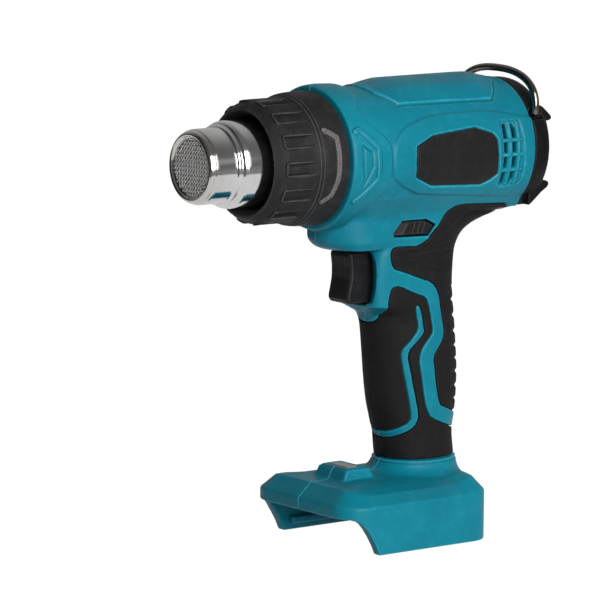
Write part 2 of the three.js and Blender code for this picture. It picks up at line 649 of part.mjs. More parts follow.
// Half of the hanging ring's centre line, from the end in the ear up to the top of the arch.
function bailHalf(side) {
  const leg = [[23.6, 0], [26.2, 0], [27.5, 0.4], [BAIL.half, 1.6]]; // X, rise over the hinge
  const arch = Array.from({ length: 10 }, (_, i) => {
    const t = (i / 9) * (Math.PI / 2);
    const x = BAIL.half * Math.abs(Math.cos(t)) ** BAIL.power;
    return [side * x, BAIL.y, BAIL.archZ + (BAIL.top - BAIL.archZ) * Math.sin(t) ** BAIL.power];
  });
  return [...leg.map(([x, rise]) => [side * x, BAIL.y, BAIL.z + rise]), ...arch];
}
const bailCurve = curveThrough([...bailHalf(-1), ...bailHalf(1).reverse().slice(1)]);
add("hanging_ring", wire(bailCurve, BAIL.wireR, 40, 8), FINISH.ringSteel);

// ---- trigger, switch and lock ----------------------------------------------------------------
function trigger() {
  const half = 7.7;
  const outline = [ // Y, Z
    [23, 137.8], [22.8, 136], [23.5, 131], [23.5, 125.5], [22.6, 121], [21.8, 117.5],
    [21.7, 115.6], [22.9, 113.9], [25.5, 113.4], [38.4, 113.4], [38.4, 137.8],
  ];
  const halfPlan = [[half, 40], [half, 24.2], [7.1, 22.8], [5.6, 22], [2, 21.6]]; // X, Y
  const plan = [...halfPlan.map(([x, y]) => [-x, y]), ...halfPlan.reverse()];
  return prismX(outline, -half, half).intersect(prismZ(plan, 110, 140));
}
add("trigger", trigger(), FINISH.plastic);
const spring = new Helix({ radius: 3.2, turns: 4, start: 39.3, travel: 6.4, z: 125 });
add("trigger_spring", wire(spring, 0.4, 36, 4), FINISH.steel);
add("switch_body", box(-8, 8, 46.4, 64, 113, 136.6), FINISH.switchBody);
add("lock_bar", prismX(inset(LOCK_WINDOW, 0.5), -22.6, 18.2), FINISH.lockPlastic);

// ---- electronics and terminals in the foot ---------------------------------------------------
add("control_board", box(-11, 11, 12, 38, 22.1, 23.7), FINISH.board);
add("indicator_board", box(-5.4, 5.4, 24, 29.6, 29.6, 31), FINISH.board);
add("indicator_window", join(
  box(-6.5, 6.5, 23.7, 29.9, 33.2, 36.2),
  box(-5.5, 5.5, 24.4, 29.2, 31.4, 33.2),
), FINISH.window);
const terminalBody = join(
  box(-13.5, 13.5, 30, 70, 12.4, BAY_TOP - GAP),
  box(-8.4, 8.4, 52.6, 65.4, 19, 23.2),
);
add("terminal_block", terminalBody
  .subtract(box(...span(-1, 8.6, 10.2), 36, 56, 10, 16.5))
  .subtract(box(...span(1, 8.6, 10.2), 36, 56, 10, 16.5))
  .subtract(box(-0.8, 0.8, 40, 52, 10, 16.5)), FINISH.terminalBlock);
for (const [name, side] of [["positive", -1], ["negative", 1]]) {
  add("terminal_blade_" + name, box(...span(side, 9, 9.8), 37, 55, 4.5, 16), FINISH.terminal);
}
add("terminal_blade_sense", box(-0.4, 0.4, 41, 51, 6.5, 16), FINISH.terminal);

// ---- leads -----------------------------------------------------------------------------------
// Up the grip to the switch: distance from the middle, Y, Z
const BATTERY_LEAD = [
  [5, 58, 23.8], [5, 59, 36], [5.5, 58.5, 60], [5.5, 57, 90], [4, 57.5, 104], [4, 57.5, 112.5],
];
const batteryLead = (side) =>
  wire(curveThrough(BATTERY_LEAD.map(([x, y, z]) => [side * x, y, z])), 1.1, 14);
add("battery_lead_positive", batteryLead(-1), FINISH.redLead);
add("battery_lead_negative", batteryLead(1), FINISH.blackLead);
// Forward from the switch: X, Y, Z
const HEATER_LEAD = [
  [5, 50, 137.1], [5, 47, 142.2], [4, 36, 145.4], [4, 28.5, 150.2], [4, 19, 155.2],
  [5.5, 11.8, 163.2],
];
add("heater_lead", wire(curveThrough(HEATER_LEAD), 1, 16), FINISH.heaterLead);

// ---- screws, driven from the right -----------------------------------------------------------
function screw(y, z) {
  const head = rodX(SCREW_SEAT - 2.5, SCREW_SEAT - GAP, y, z, SCREW_R.head);
  const shank = rodX(SCREW_SEAT - 1, 8.4, y, z, SCREW_R.shank, 6);
  const driveBar = (halfY, halfZ) =>
    box(SCREW_SEAT - 3, SCREW_SEAT - 1.4, y - halfY, y + halfY, z - halfZ, z + halfZ);
  return join(head, shank).subtract(join(driveBar(1.6, 0.35), driveBar(0.35, 1.6)));
}
for (const [name, [y, z]] of Object.entries(SCREWS)) add("screw_" + name, screw(y, z), FINISH.screw);

export default heatGun;
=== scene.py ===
import json
import math
from functools import reduce

import bmesh
import bpy
import numpy as np
import openvdb
from mathutils import Matrix, Vector


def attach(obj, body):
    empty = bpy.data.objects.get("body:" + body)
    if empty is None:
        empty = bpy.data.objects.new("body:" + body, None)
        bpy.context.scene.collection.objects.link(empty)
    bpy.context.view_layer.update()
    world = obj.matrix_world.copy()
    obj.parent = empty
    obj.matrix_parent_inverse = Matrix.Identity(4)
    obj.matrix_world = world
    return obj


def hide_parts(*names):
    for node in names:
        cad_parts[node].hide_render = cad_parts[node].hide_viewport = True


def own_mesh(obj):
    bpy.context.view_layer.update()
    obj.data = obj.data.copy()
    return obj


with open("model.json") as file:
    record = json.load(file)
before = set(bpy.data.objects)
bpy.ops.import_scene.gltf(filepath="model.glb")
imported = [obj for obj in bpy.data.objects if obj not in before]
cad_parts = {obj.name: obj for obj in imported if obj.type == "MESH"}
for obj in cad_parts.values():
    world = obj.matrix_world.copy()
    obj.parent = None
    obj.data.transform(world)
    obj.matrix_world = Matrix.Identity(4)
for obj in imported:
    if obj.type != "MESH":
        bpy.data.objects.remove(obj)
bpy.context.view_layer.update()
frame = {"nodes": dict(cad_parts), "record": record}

DEGREE = math.pi / 180
MIDDLE_Y = 33.7  # drawing Y of the row frame's origin
AXIS_Z = 183.3  # height of the barrel's centre line
BODY_END = 115.0  # Y where the barrel meets the rear cap
BORE = 29.3  # inner radius of the barrel
WALL = 2.6
WINDOW_Y = 26.8  # middle of the charge window
RELIEF_RADIUS = 33.0  # radius at which the barrel's outlines are laid out
NOSE_Y, NOSE_LENGTH = 28.0, 19.0  # the block's rounded front: where it starts, its length
ANGLE_STEP = 0.25  # degrees between columns of a (Y, angle) table
RADIUS_STEP = 0.12  # spacing of columns in a (Y, radius) table
ADAPTIVITY = 0.012  # how far the mesher may merge flat cells

# Screws along X, heads on the right side: (Y, Z).
SCREWS = {
    "front": (21, 147.2), "deck_front": (53, 210.8), "deck_rear": (93, 210.8),
    "waist": (68.5, 157.2), "grip_upper": (69.6, 97.5), "grip_lower": (67.0, 62.5),
    "foot_front": (42, 25.6), "foot_rear": (79, 26.2),
}
SKIN_SCREWS = ("waist", "grip_upper", "grip_lower")


# ---- fields -------------------------------------------------------------------------------
def smin(a, b, blend):
    """Union of two fields with a fillet of about the blend size."""
    near = np.maximum(blend - np.abs(a - b), 0) / blend
    return np.minimum(a, b) - near * near * blend * 0.25


def smax(a, b, blend):
    """Intersection of two fields with a rounded edge."""
    near = np.maximum(blend - np.abs(a - b), 0) / blend
    return np.maximum(a, b) + near * near * blend * 0.25


def cut(solid, tool, blend):
    """The solid without the tool, with a rounded edge."""
    return smax(solid, -tool, blend)


def overlap(*fields):
    """Sharp intersection."""
    return reduce(np.maximum, fields)


def slab(coord, middle, half):
    return np.abs(coord - middle) - half


def box(axes, middle, half, side_blend, end_blend):
    """A box whose first two axes meet with one rounding and whose third has another."""
    one, two, three = (slab(*spec) for spec in zip(axes, middle, half))
    return smax(smax(one, two, side_blend), three, end_blend)


def ease(value):
    """Smooth step from 0 to 1."""
    value = np.clip(value, 0, 1)
    return value * value * (3 - 2 * value)


def rounded(points, radius, steps=4, closed=True):
    """The outline with each corner replaced by a short curve of about the radius."""
    points = [np.array(point, float) for point in points]
    out = []
    count = len(points)
    for i in range(count):
        corner = points[i]
        if not closed and i in (0, count - 1):
            out.append(corner)
            continue
        back, ahead = points[(i - 1) % count] - corner, points[(i + 1) % count] - corner
        back_len, ahead_len = np.linalg.norm(back), np.linalg.norm(ahead)
        if back_len < 1e-9 or ahead_len < 1e-9:
            out.append(corner)
            continue
        cosine = float(back @ ahead) / back_len / ahead_len
        angle = math.acos(max(-1, min(1, cosine)))
        reach = min(radius / max(math.tan(angle / 2), 1e-3), 0.48 * back_len, 0.48 * ahead_len)
        start, end = corner + back / back_len * reach, corner + ahead / ahead_len * reach
        for j in range(steps + 1):
            w = j / steps
            out.append((1 - w) ** 2 * start + 2 * w * (1 - w) * corner + w * w * end)
    return out


def poly(points, u, v, radius=0, steps=4):
    """Signed distance to a closed outline, its corners rounded, on broadcastable axes."""
    if radius:
        points = rounded(points, radius, steps)
    u, v = np.broadcast_arrays(u, v)
    u, v = u.astype(np.float32), v.astype(np.float32)
    dist = np.full(u.shape, 1e9, np.float32)
    inside = np.zeros(u.shape, bool)
    for i in range(len(points)):
        u0, v0 = map(float, points[i])
        u1, v1 = map(float, points[(i + 1) % len(points)])
        du, dv = u1 - u0, v1 - v0
        length2 = du * du + dv * dv
        if length2 < 1e-12:
            continue
        pu, pv = u - u0, v - v0
        t = np.clip((pu * du + pv * dv) / length2, 0, 1)
        qu, qv = pu - du * t, pv - dv * t
        dist = np.minimum(dist, qu * qu + qv * qv)
        if v0 != v1:
            inside ^= ((v0 > v) != (v1 > v)) & (u < (u1 - u0) * (v - v0) / (v1 - v0) + u0)
    dist = np.sqrt(dist)
    return np.where(inside, -dist, dist)


def line(points, u, v):
    """Distance to an open line of points."""
    u, v = np.broadcast_arrays(u, v)
    dist = np.full(u.shape, 1e9, np.float32)
    for (u0, v0), (u1, v1) in zip(points[:-1], points[1:]):
        du, dv = u1 - u0, v1 - v0
        length2 = max(du * du + dv * dv, 1e-12)
        t = np.clip(((u - u0) * du + (v - v0) * dv) / length2, 0, 1)
        dist = np.minimum(dist, (u - u0 - du * t) ** 2 + (v - v0 - dv * t) ** 2)
    return np.sqrt(dist)


def pchip(xs, ys, x):
    """Monotone cubic through the points."""
    xs, ys = np.array(xs, float), np.array(ys, float)
    gap = np.diff(xs)
    rise = np.diff(ys) / gap
    slope = np.zeros(len(xs))
    slope[0], slope[-1] = rise[0], rise[-1]
    for i in range(1, len(xs) - 1):
        if rise[i - 1] * rise[i] > 0:
            w1, w2 = 2 * gap[i] + gap[i - 1], gap[i] + 2 * gap[i - 1]
            slope[i] = (w1 + w2) / (w1 / rise[i - 1] + w2 / rise[i])
    x = np.clip(x, xs[0], xs[-1])
    i = np.clip(np.searchsorted(xs, x, side="right") - 1, 0, len(xs) - 2)
    t = (x - xs[i]) / gap[i]
    return ((2 * t**3 - 3 * t**2 + 1) * ys[i] + (t**3 - 2 * t**2 + t) * gap[i] * slope[i]
            + (-2 * t**3 + 3 * t**2) * ys[i + 1] + (t**3 - t**2) * gap[i] * slope[i + 1])


class Grid:
    """A box of sample points: 1D lines, and the same as broadcastable axes."""

    def __init__(self, lo, hi, step=0.36, quick_step=0.6):
        self.step = step
        self.lo = np.array(lo, float)
        self.shape = tuple(int(math.ceil((b - a) / self.step)) + 1 for a, b in zip(lo, hi))
        self.lines = [(start + self.step * np.arange(count)).astype(np.float32)
                      for start, count in zip(lo, self.shape)]
        x, y, z = self.lines
        self.axes = x[:, None, None], y[None, :, None], z[None, None, :]


def barrel_radius(grid):
    """Distance from the barrel's centre line."""
    x, _, z = grid.axes
    return np.sqrt(x**2 + (z - AXIS_Z) ** 2)


def spread(table, column):
    """A table with one row per Y, read at fractional columns over the (X, Z) plane."""
    column = np.clip(column, 0, table.shape[1] - 1.001)
    i = column.astype(int)
    w = (column - i).astype(np.float32)
    rows = table[:, i] * (1 - w) + table[:, i + 1] * w
    return np.ascontiguousarray(rows.transpose(1, 0, 2))


def turned_field(grid, profile):
    """Field of a closed (Y, radius) profile turned about the barrel's centre line."""
    radii = np.arange(0, 60, RADIUS_STEP)
    table = poly(profile, grid.lines[1].astype(float)[:, None], radii[None, :])
    return spread(table, barrel_radius(grid)[:, 0, :] / RADIUS_STEP)


def sheet(grid, function):
    """A (Y, angle) function over the grid; the angle runs from the top towards +X."""
    x, _, z = grid.axes
    theta = np.degrees(np.arctan2(x, z - AXIS_Z))[:, 0, :]
    angles = np.arange(-180.5, 180.76, ANGLE_STEP)
    table = function(grid.lines[1].astype(float)[:, None], angles[None, :]).astype(np.float32)
    return spread(table, (theta + 180.5) / ANGLE_STEP)


def arc(points, radius=RELIEF_RADIUS):
    """(Y, degrees) points as (Y, arc length)."""
    return [[y, radius * angle * DEGREE] for y, angle in points]


# ---- meshes -------------------------------------------------------------------------------
def sample(values, at):
    """Values of a grid array at index-space points."""
    at = np.clip(at, 0, np.array(values.shape) - 1.001)
    cell = at.astype(int)
    fx, fy, fz = (at - cell).astype(np.float32).T
    x, y, z = cell.T
    out = 0
    for i, wx in ((0, 1 - fx), (1, fx)):
        for j, wy in ((0, 1 - fy), (1, fy)):
            for k, wz in ((0, 1 - fz), (1, fz)):
                out = out + values[x + i, y + j, z + k] * (wx * wy * wz)
    return out


def surface(field, grid):
    """Points, faces, normals and edge values of the field's zero surface."""
    field = field.astype(np.float32)
    step = grid.step
    band = 3.0 * step
    volume = openvdb.FloatGrid(background=band)
    volume.copyFromArray(np.ascontiguousarray(np.clip(field, -band, band)), tolerance=0.0)
    points, tris, quads = volume.convertToPolygons(0.0, ADAPTIVITY)
    points = np.array(points, np.float64)
    gradient = np.gradient(field, step)

    def slope_at(at):
        return np.stack([sample(part, at) for part in gradient], 1)

    # pull the points onto the zero surface
    for _ in range(2):
        slope = slope_at(points)
        length = np.maximum(np.linalg.norm(slope, axis=1), 1e-3)
        move = np.clip(sample(field, points) / length, -0.4 * step, 0.4 * step)
        points = points - (slope / length[:, None]) * (move / step)[:, None] * 0.7
    normals = slope_at(points)
    normals /= np.maximum(np.linalg.norm(normals, axis=1), 1e-6)[:, None]
    # the Laplacian is positive on ridges and negative in hollows
    bend = np.zeros_like(field)
    inner = field[1:-1, 1:-1, 1:-1]
    bend[1:-1, 1:-1, 1:-1] = (
        field[2:, 1:-1, 1:-1] + field[:-2, 1:-1, 1:-1] + field[1:-1, 2:, 1:-1]
        + field[1:-1, :-2, 1:-1] + field[1:-1, 1:-1, 2:] + field[1:-1, 1:-1, :-2]
        - 6 * inner) / step**2
    edge = sample(bend, points)
    tris, quads = np.array(tris, int).reshape(-1, 3), np.array(quads, int).reshape(-1, 4)
    # faces turn outward
    faces = quads if len(quads) else tris
    a, b, c = (points[faces[:, i]] for i in range(3))
    if (np.cross(b - a, c - a) * normals[faces[:, 0]]).sum() < 0:
        tris, quads = tris[:, ::-1], quads[:, ::-1]
    return grid.lo + points * step, [tris, quads], normals, np.clip(edge, -3, 3)


def turn_faces_out(mesh):
    bm = bmesh.new()
    bm.from_mesh(mesh)
    bmesh.ops.recalc_face_normals(bm, faces=bm.faces)
    bm.to_mesh(mesh)
    bm.free()


def add_piece(name, node, slot, points, faces, attributes, normals=None,
              body="housing", material=None):
    """A smooth mesh from millimetre points and arrays of tris and quads, placed in the frame."""
    mesh = bpy.data.meshes.new(name)
    loops = np.concatenate([part.ravel() for part in faces]).astype(np.int32)
    sizes = np.concatenate([np.full(len(part), part.shape[1]) for part in faces])
    sizes = sizes.astype(np.int32)
    place = np.array(points, float)
    place[..., 1] -= MIDDLE_Y
    mesh.vertices.add(len(place))
    mesh.vertices.foreach_set("co", (place * 0.001).astype(np.float32).ravel())
    mesh.loops.add(len(loops))
    mesh.loops.foreach_set("vertex_index", loops)
    mesh.polygons.add(len(sizes))
    starts = np.concatenate([[0], np.cumsum(sizes)[:-1]]).astype(np.int32)
    mesh.polygons.foreach_set("loop_start", starts)
    mesh.update(calc_edges=True)
    mesh.validate()
    mesh.polygons.foreach_set("use_smooth", np.full(len(mesh.polygons), True))
    for key, values in attributes.items():
        data = mesh.attributes.new(key, "FLOAT", "POINT").data
        data.foreach_set("value", values.astype(np.float32))
    if normals is not None:
        mesh.normals_split_custom_set_from_vertices([tuple(v) for v in normals.tolist()])
    piece = bpy.data.objects.new(name, mesh)
    bpy.context.scene.collection.objects.link(piece)
    mesh.materials.append(MATERIALS[material or slot])
    if normals is None:
        turn_faces_out(mesh)
    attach(piece, body)
    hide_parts(node)
    return piece


def field_piece(name, node, slot, field, grid, mirror=False, mark=None, **placing):
    """The piece at the field's zero surface; mark gives a second attribute from the points."""
    points, faces, normals, edge = surface(field, grid)
    if mirror:
        points, normals = points * [-1, 1, 1], normals * [-1, 1, 1]
        faces = [part[:, ::-1] for part in faces]
    attributes = {"edge": edge}
    if mark:
        attributes["mark"] = mark(points)
    add_piece(name, node, slot, points, faces, attributes, normals, **placing)


def ring_quads(rows, columns, wrap_rows):
    """Point indices (a, next column, both, next row) of a grid that wraps along its columns."""
    i, j = np.meshgrid(np.arange(rows if wrap_rows else rows - 1), np.arange(columns),
                       indexing="ij")
    i1, j1 = (i + 1) % rows, (j + 1) % columns
    corners = (i * columns + j, i * columns + j1, i1 * columns + j1, i1 * columns + j)
    return np.stack(corners, -1).reshape(-1, 4)


def lathe(name, node, slot, profile, segments, radius, steps=3):
    """A solid of revolution about the barrel's centre line from a (Y, radius) profile."""
    corners = [tuple(point) for point in rounded(profile, radius, steps)]
    kept = [corners[0]]
    for point in corners[1:]:
        if abs(point[0] - kept[-1][0]) + abs(point[1] - kept[-1][1]) > 1e-4:
            kept.append(point)
    if abs(kept[0][0] - kept[-1][0]) + abs(kept[0][1] - kept[-1][1]) < 1e-4:
        kept.pop()
    loop = np.array(kept)
    after = np.roll(loop, -1, axis=0)
    if np.sum(loop[:, 0] * after[:, 1] - after[:, 0] * loop[:, 1]) > 0:
        loop = loop[::-1]
    count = len(loop)
    angles = np.arange(segments) * 2 * math.pi / segments
    points = np.zeros((segments, count, 3))
    points[:, :, 0] = loop[None, :, 1] * np.sin(angles)[:, None]
    points[:, :, 1] = loop[None, :, 0]
    points[:, :, 2] = AXIS_Z + loop[None, :, 1] * np.cos(angles)[:, None]
    quads = ring_quads(segments, count, wrap_rows=True)[:, [0, 3, 2, 1]]
    # edge value from the turn of the profile
    side = np.roll(loop, -1, 0) - loop
    heading = np.arctan2(side[:, 1], side[:, 0])
    change = np.diff(np.concatenate([[heading[-1]], heading]))
    turn = -((change + math.pi) % (2 * math.pi) - math.pi)
    length = np.linalg.norm(side, axis=1)
    length = (length + np.roll(length, 1)) / 2
    edge = np.tile(np.clip(turn / np.maximum(length, 0.08), -2.5, 2.5), segments)
    add_piece(name, node, slot, points.reshape(-1, 3), [quads], {"edge": edge})


def tube_mesh(path, radius, sides):
    """Points, tris and quads of a round wire with shallow pointed ends."""
    path = np.array(path, float)
    count = len(path)
    along = np.roll(path, -1, 0) - np.roll(path, 1, 0)
    along[0], along[-1] = path[1] - path[0], path[-1] - path[-2]
    along /= np.linalg.norm(along, axis=1)[:, None]
    helper = np.array([0.0, 0.0, 1.0] if abs(along[0][2]) < 0.9 else [1.0, 0.0, 0.0])
    across = np.cross(along[0], helper)
    across /= np.linalg.norm(across)
    rings = []
    angles = np.arange(sides) * 2 * math.pi / sides
    for i in range(count):
        across = across - along[i] * (across @ along[i])
        across /= np.linalg.norm(across)
        other = np.cross(along[i], across)
        circle = np.cos(angles)[:, None] * across + np.sin(angles)[:, None] * other
        rings.append(path[i] + radius * circle)
    quads = ring_quads(count, sides, wrap_rows=False)
    first_tip = count * sides
    tips = [path[0] - along[0] * radius * 0.3, path[-1] + along[-1] * radius * 0.3]
    last = (count - 1) * sides
    tris = []
    for k in range(sides):
        after = (k + 1) % sides
        tris.append((first_tip, after, k))
        tris.append((first_tip + 1, last + k, last + after))
    return np.concatenate(rings + [tips]), np.array(tris, int), quads


def wire(name, node, slot, path, radius, sides, **placing):
    points, tris, quads = tube_mesh(path, radius, sides)
    edge = np.zeros(len(points))
    return add_piece(name, node, slot, points, [tris, quads], {"edge": edge}, **placing)


def smooth_path(points, steps):
    """Catmull-Rom through the points, with the given samples per span."""
    points = [np.array(point, float) for point in points]
    out = []
    count = len(points)
    for i in range(count - 1):
        before, start = points[max(i - 1, 0)], points[i]
        end, after = points[i + 1], points[min(i + 2, count - 1)]
        for k in range(steps):
            t = k / steps
            out.append(0.5 * ((2 * start) + (-before + end) * t
                              + (2 * before - 5 * start + 4 * end - after) * t**2
                              + (-before + 3 * start - 3 * end + after) * t**3))
    out.append(points[-1])
    return np.array(out)


# ---- materials ----------------------------------------------------------------------------
def srgb(colour):
    """Linear RGBA of an sRGB colour given as 0 to 255."""
    parts = (part / 255 for part in colour)
    return tuple(c / 12.92 if c <= 0.04045 else ((c + 0.055) / 1.055) ** 2.4
                 for c in parts) + (1.0,)


class Tree:
    """Short calls for building a node tree."""

    def __init__(self, owner):
        owner.use_nodes = True
        self.tree = owner.node_tree
        self.tree.nodes.clear()

    def add(self, kind, inputs=(), **settings):
        """A node with its settings, and inputs that are either links or values."""
        node = self.tree.nodes.new("ShaderNode" + kind)
        for key, value in settings.items():
            setattr(node, key, value)
        self.feed(node, inputs)
        return node

    def feed(self, node, inputs):
        for key, value in dict(inputs).items():
            if isinstance(value, bpy.types.NodeSocket):
                self.tree.links.new(value, node.inputs[key])
            else:
                node.inputs[key].default_value = value

    def math(self, operation, a, b=0.0, c=0.0):
        return self.add("Math", {0: a, 1: b, 2: c}, operation=operation).outputs[0]

    def ramp(self, value, over, to=(0.0, 1.0)):
        """The value mapped linearly from one range to another, and clamped."""
        inputs = {0: value, 1: over[0], 2: over[1], 3: to[0], 4: to[1]}
        return self.add("MapRange", inputs).outputs[0]


class Surface(Tree):
    """A material around a principled shader; textures run in object coordinates, metres."""

    def __init__(self, name):
        self.material = bpy.data.materials.new(name)
        super().__init__(self.material)
        output = self.add("OutputMaterial")
        self.bsdf = self.add("BsdfPrincipled")
        self.feed(output, {"Surface": self.bsdf.outputs[0]})
        self.coords = self.add("TexCoord").outputs["Object"]

    def noise(self, scale, detail=3.0, rough=0.55, coords=None, distortion=0.0):
        return self.add("TexNoise", {
            "Vector": coords or self.coords, "Scale": scale, "Detail": detail,
            "Roughness": rough, "Distortion": distortion}).outputs["Fac"]

    def voronoi(self, scale):
        node = self.add("TexVoronoi", {"Vector": self.coords, "Scale": scale})
        return node.outputs["Distance"]

    def mix(self, amount, colour, other):
        return self.add("Mix", {0: amount, 6: colour, 7: other}, data_type="RGBA").outputs[2]

    def attribute(self, name):
        return self.add("Attribute", attribute_name=name).outputs["Fac"]

    def bump(self, height, distance, strength, normal=None):
        inputs = {"Height": height, "Distance": distance, "Strength": strength}
        if normal is not None:
            inputs["Normal"] = normal
        return self.add("Bump", inputs).outputs[0]

    def stretch(self, scale, coords=None):
        inputs = {"Vector": coords or self.coords, "Scale": scale}
        return self.add("Mapping", inputs).outputs[0]

    def polar(self):
        """Coordinates (angle, Y, radius) about the barrel's centre line, and Y alone."""
        x, y, z = self.add("SeparateXYZ", {0: self.coords}).outputs
        z = self.math("SUBTRACT", z, AXIS_Z / 1000)
        angle = self.math("ARCTAN2", x, z)
        squares = self.math("ADD", self.math("MULTIPLY", x, x), self.math("MULTIPLY", z, z))
        radius = self.math("SQRT", squares)
        return self.add("CombineXYZ", {0: angle, 1: y, 2: radius}).outputs[0], y


def plastic(name, base, dark, light, rough, grain=2200.0, grain_depth=0.000035,
            edge_gain=0.35, specular=0.18, coat=0.0, mark=None):
    """Moulded plastic: eroded grain, shade drift, edges lighter from wear and a painted
    highlight, painted shade in the hollows, scuffs in the gloss.
    """
    k = Surface(name)
    base, dark, light = srgb(base), srgb(dark), srgb(light)
    drift = k.noise(scale=28.0, detail=4.0)
    blot = k.noise(scale=170.0, detail=5.0, rough=0.65)
    speck = k.noise(scale=900.0, detail=2.0)
    colour = k.mix(k.ramp(drift, over=(0.35, 0.68)), dark, base)
    colour = k.mix(k.ramp(blot, over=(0.5, 0.8), to=(0.0, 0.22)), colour, light)
    colour = k.mix(k.ramp(speck, over=(0.62, 0.78), to=(0.0, 0.12)), colour, light)
    # ridges and edges lightened towards the light colour in noisy patches: partly wear, partly a
    # painted highlight
    edge = k.attribute("edge")
    wear_and_highlight = k.math("MULTIPLY", k.ramp(edge, over=(0.35, 1.7)),
                  k.ramp(k.noise(scale=320.0, detail=4.0, rough=0.7),
                         over=(0.3, 0.62), to=(0.3, 1.0)))
    colour = k.mix(k.math("MULTIPLY", wear_and_highlight, edge_gain), colour, light)
    # painted shade: hollows and creases darkened towards a deeper tone of the dark colour
    hollow = k.ramp(edge, over=(-0.25, -1.6))
    crease_shade_colour = tuple(part * 0.45 for part in dark[:3]) + (1,)
    colour = k.mix(k.math("MULTIPLY", hollow, 0.55), colour, crease_shade_colour)
    scratch = k.noise(scale=60.0, detail=6.0, rough=0.8,
                      coords=k.stretch((1, 5, 24)), distortion=0.6)
    gloss = k.ramp(k.noise(scale=75.0, detail=5.0, rough=0.6), over=(0.3, 0.7), to=rough)
    scuffs = k.math("MULTIPLY", k.ramp(scratch, over=(0.62, 0.72)), 0.0875)
    gloss = k.math("ADD", gloss, scuffs)
    gloss = k.math("SUBTRACT", gloss, k.math("MULTIPLY", wear_and_highlight, 0.06))
    fine = k.noise(scale=grain, detail=3.0, rough=0.6)
    pits = k.voronoi(scale=grain * 0.75)
    normal = k.bump(k.math("ADD", fine, k.math("MULTIPLY", pits, 0.6)),
                    distance=grain_depth, strength=1.0)
    waves = k.math("ADD", k.noise(scale=110.0, detail=3.0),
                   k.math("MULTIPLY", k.ramp(scratch, over=(0.64, 0.72)), -0.5))
    normal = k.bump(waves, distance=0.00004, strength=0.6, normal=normal)
    if mark:
        worn_mark = k.math("MULTIPLY", k.attribute("mark"),
                           k.ramp(k.noise(scale=1100.0, detail=4.0, rough=0.8),
                                  over=(0.34, 0.6), to=(0.25, 1.0)))
        colour = k.mix(k.math("MULTIPLY", worn_mark, 0.85), colour, srgb(mark))
    k.feed(k.bsdf, {"Base Color": colour, "Roughness": gloss, "Normal": normal,
                    "Specular IOR Level": specular})
    if coat:
        k.feed(k.bsdf, {"Coat Weight": coat, "Coat Roughness": 0.3})
    return k.material


def rubber(name, base, dark, light, rough):
    """Soft-touch rubber: pebbled matt grain, dusty haze in patches, painted highlight on the
    high spots, painted shade in the hollows, faint polish.
    """
    k = Surface(name)
    base, dark, light = srgb(base), srgb(dark), srgb(light)
    drift = k.noise(scale=22.0, detail=4.0)
    dust = k.noise(scale=260.0, detail=6.0, rough=0.7)
    colour = k.mix(k.ramp(drift, over=(0.3, 0.7)), dark, base)
    colour = k.mix(k.ramp(dust, over=(0.52, 0.78), to=(0.0, 0.3)), colour, light)
    edge = k.attribute("edge")
    # painted highlight: ridges lightened towards the light colour
    ridge = k.math("MULTIPLY", k.ramp(edge, over=(0.4, 1.8)), 0.3)
    colour = k.mix(ridge, colour, light)
    # painted shade: hollows and creases darkened nearly to black
    hollow = k.math("MULTIPLY", k.ramp(edge, over=(-0.3, -1.6)), 0.6)
    colour = k.mix(hollow, colour, (0.002, 0.002, 0.002, 1))
    gloss = k.ramp(k.noise(scale=90.0, detail=5.0), over=(0.3, 0.7), to=rough)
    pebbles = k.voronoi(scale=1500.0)
    height = k.math("ADD", k.math("MULTIPLY", pebbles, -1.0), k.noise(scale=2700.0, detail=2.0))
    normal = k.bump(height, distance=0.00007, strength=0.9)
    normal = k.bump(k.noise(scale=140.0, detail=4.0), distance=0.00006, strength=0.5,
                    normal=normal)
    k.feed(k.bsdf, {"Base Color": colour, "Roughness": gloss, "Normal": normal,
                    "Specular IOR Level": 0.2, "Sheen Weight": 0.015, "Sheen Roughness": 0.4})
    return k.material


def metal(name, base, tint, rough, brushed=0.4, turned=False, heat=None):
    """Metal with fine tool lines and smudges; turned runs the lines round the barrel.

    A heat colour, for turned metal only, tints the end of the nozzle.
    """
    k = Surface(name)
    base, tint = base + (1,), tint + (1,)
    if turned:
        around, y = k.polar()
        lines = k.noise(scale=1.0, detail=4.0, rough=0.7,
                        coords=k.stretch((0.6, 2600.0, 1.0), around))
    else:
        lines = k.noise(scale=40.0, detail=4.0, rough=0.7, coords=k.stretch((1, 1, 40)))
    smudge = k.noise(scale=95.0, detail=5.0, rough=0.65, distortion=0.4)
    colour = k.mix(k.ramp(smudge, over=(0.35, 0.7)), base, tint)
    if heat:
        span = [(end - MIDDLE_Y) / 1000 for end in (-64, -48)]
        near = k.math("ADD", k.ramp(y, over=span, to=(1.0, 0.0)),
                      k.math("MULTIPLY", k.noise(scale=60.0, detail=4.0), 0.35))
        colour = k.mix(k.ramp(near, over=(0.35, 1.2), to=(0.0, 0.5)), colour, heat + (1,))
    gloss = k.ramp(smudge, over=(0.3, 0.75), to=rough)
    gloss = k.math("ADD", gloss,
                   k.math("MULTIPLY", k.ramp(lines, over=(0.55, 0.75)), 0.08 * brushed))
    pits = k.ramp
    height = k.math("ADD", k.math("MULTIPLY", lines, brushed),
                    k.math("MULTIPLY",
                           pits(k.noise(scale=700.0, detail=3.0), over=(0.66, 0.78)), -0.3))
    normal = k.bump(height, distance=0.00001, strength=0.7)
    normal = k.bump(k.noise(scale=45.0, detail=2.0), distance=0.00012, strength=0.35,
                    normal=normal)
    k.feed(k.bsdf, {"Base Color": colour, "Roughness": gloss, "Normal": normal,
                    "Metallic": 1.0})
    return k.material


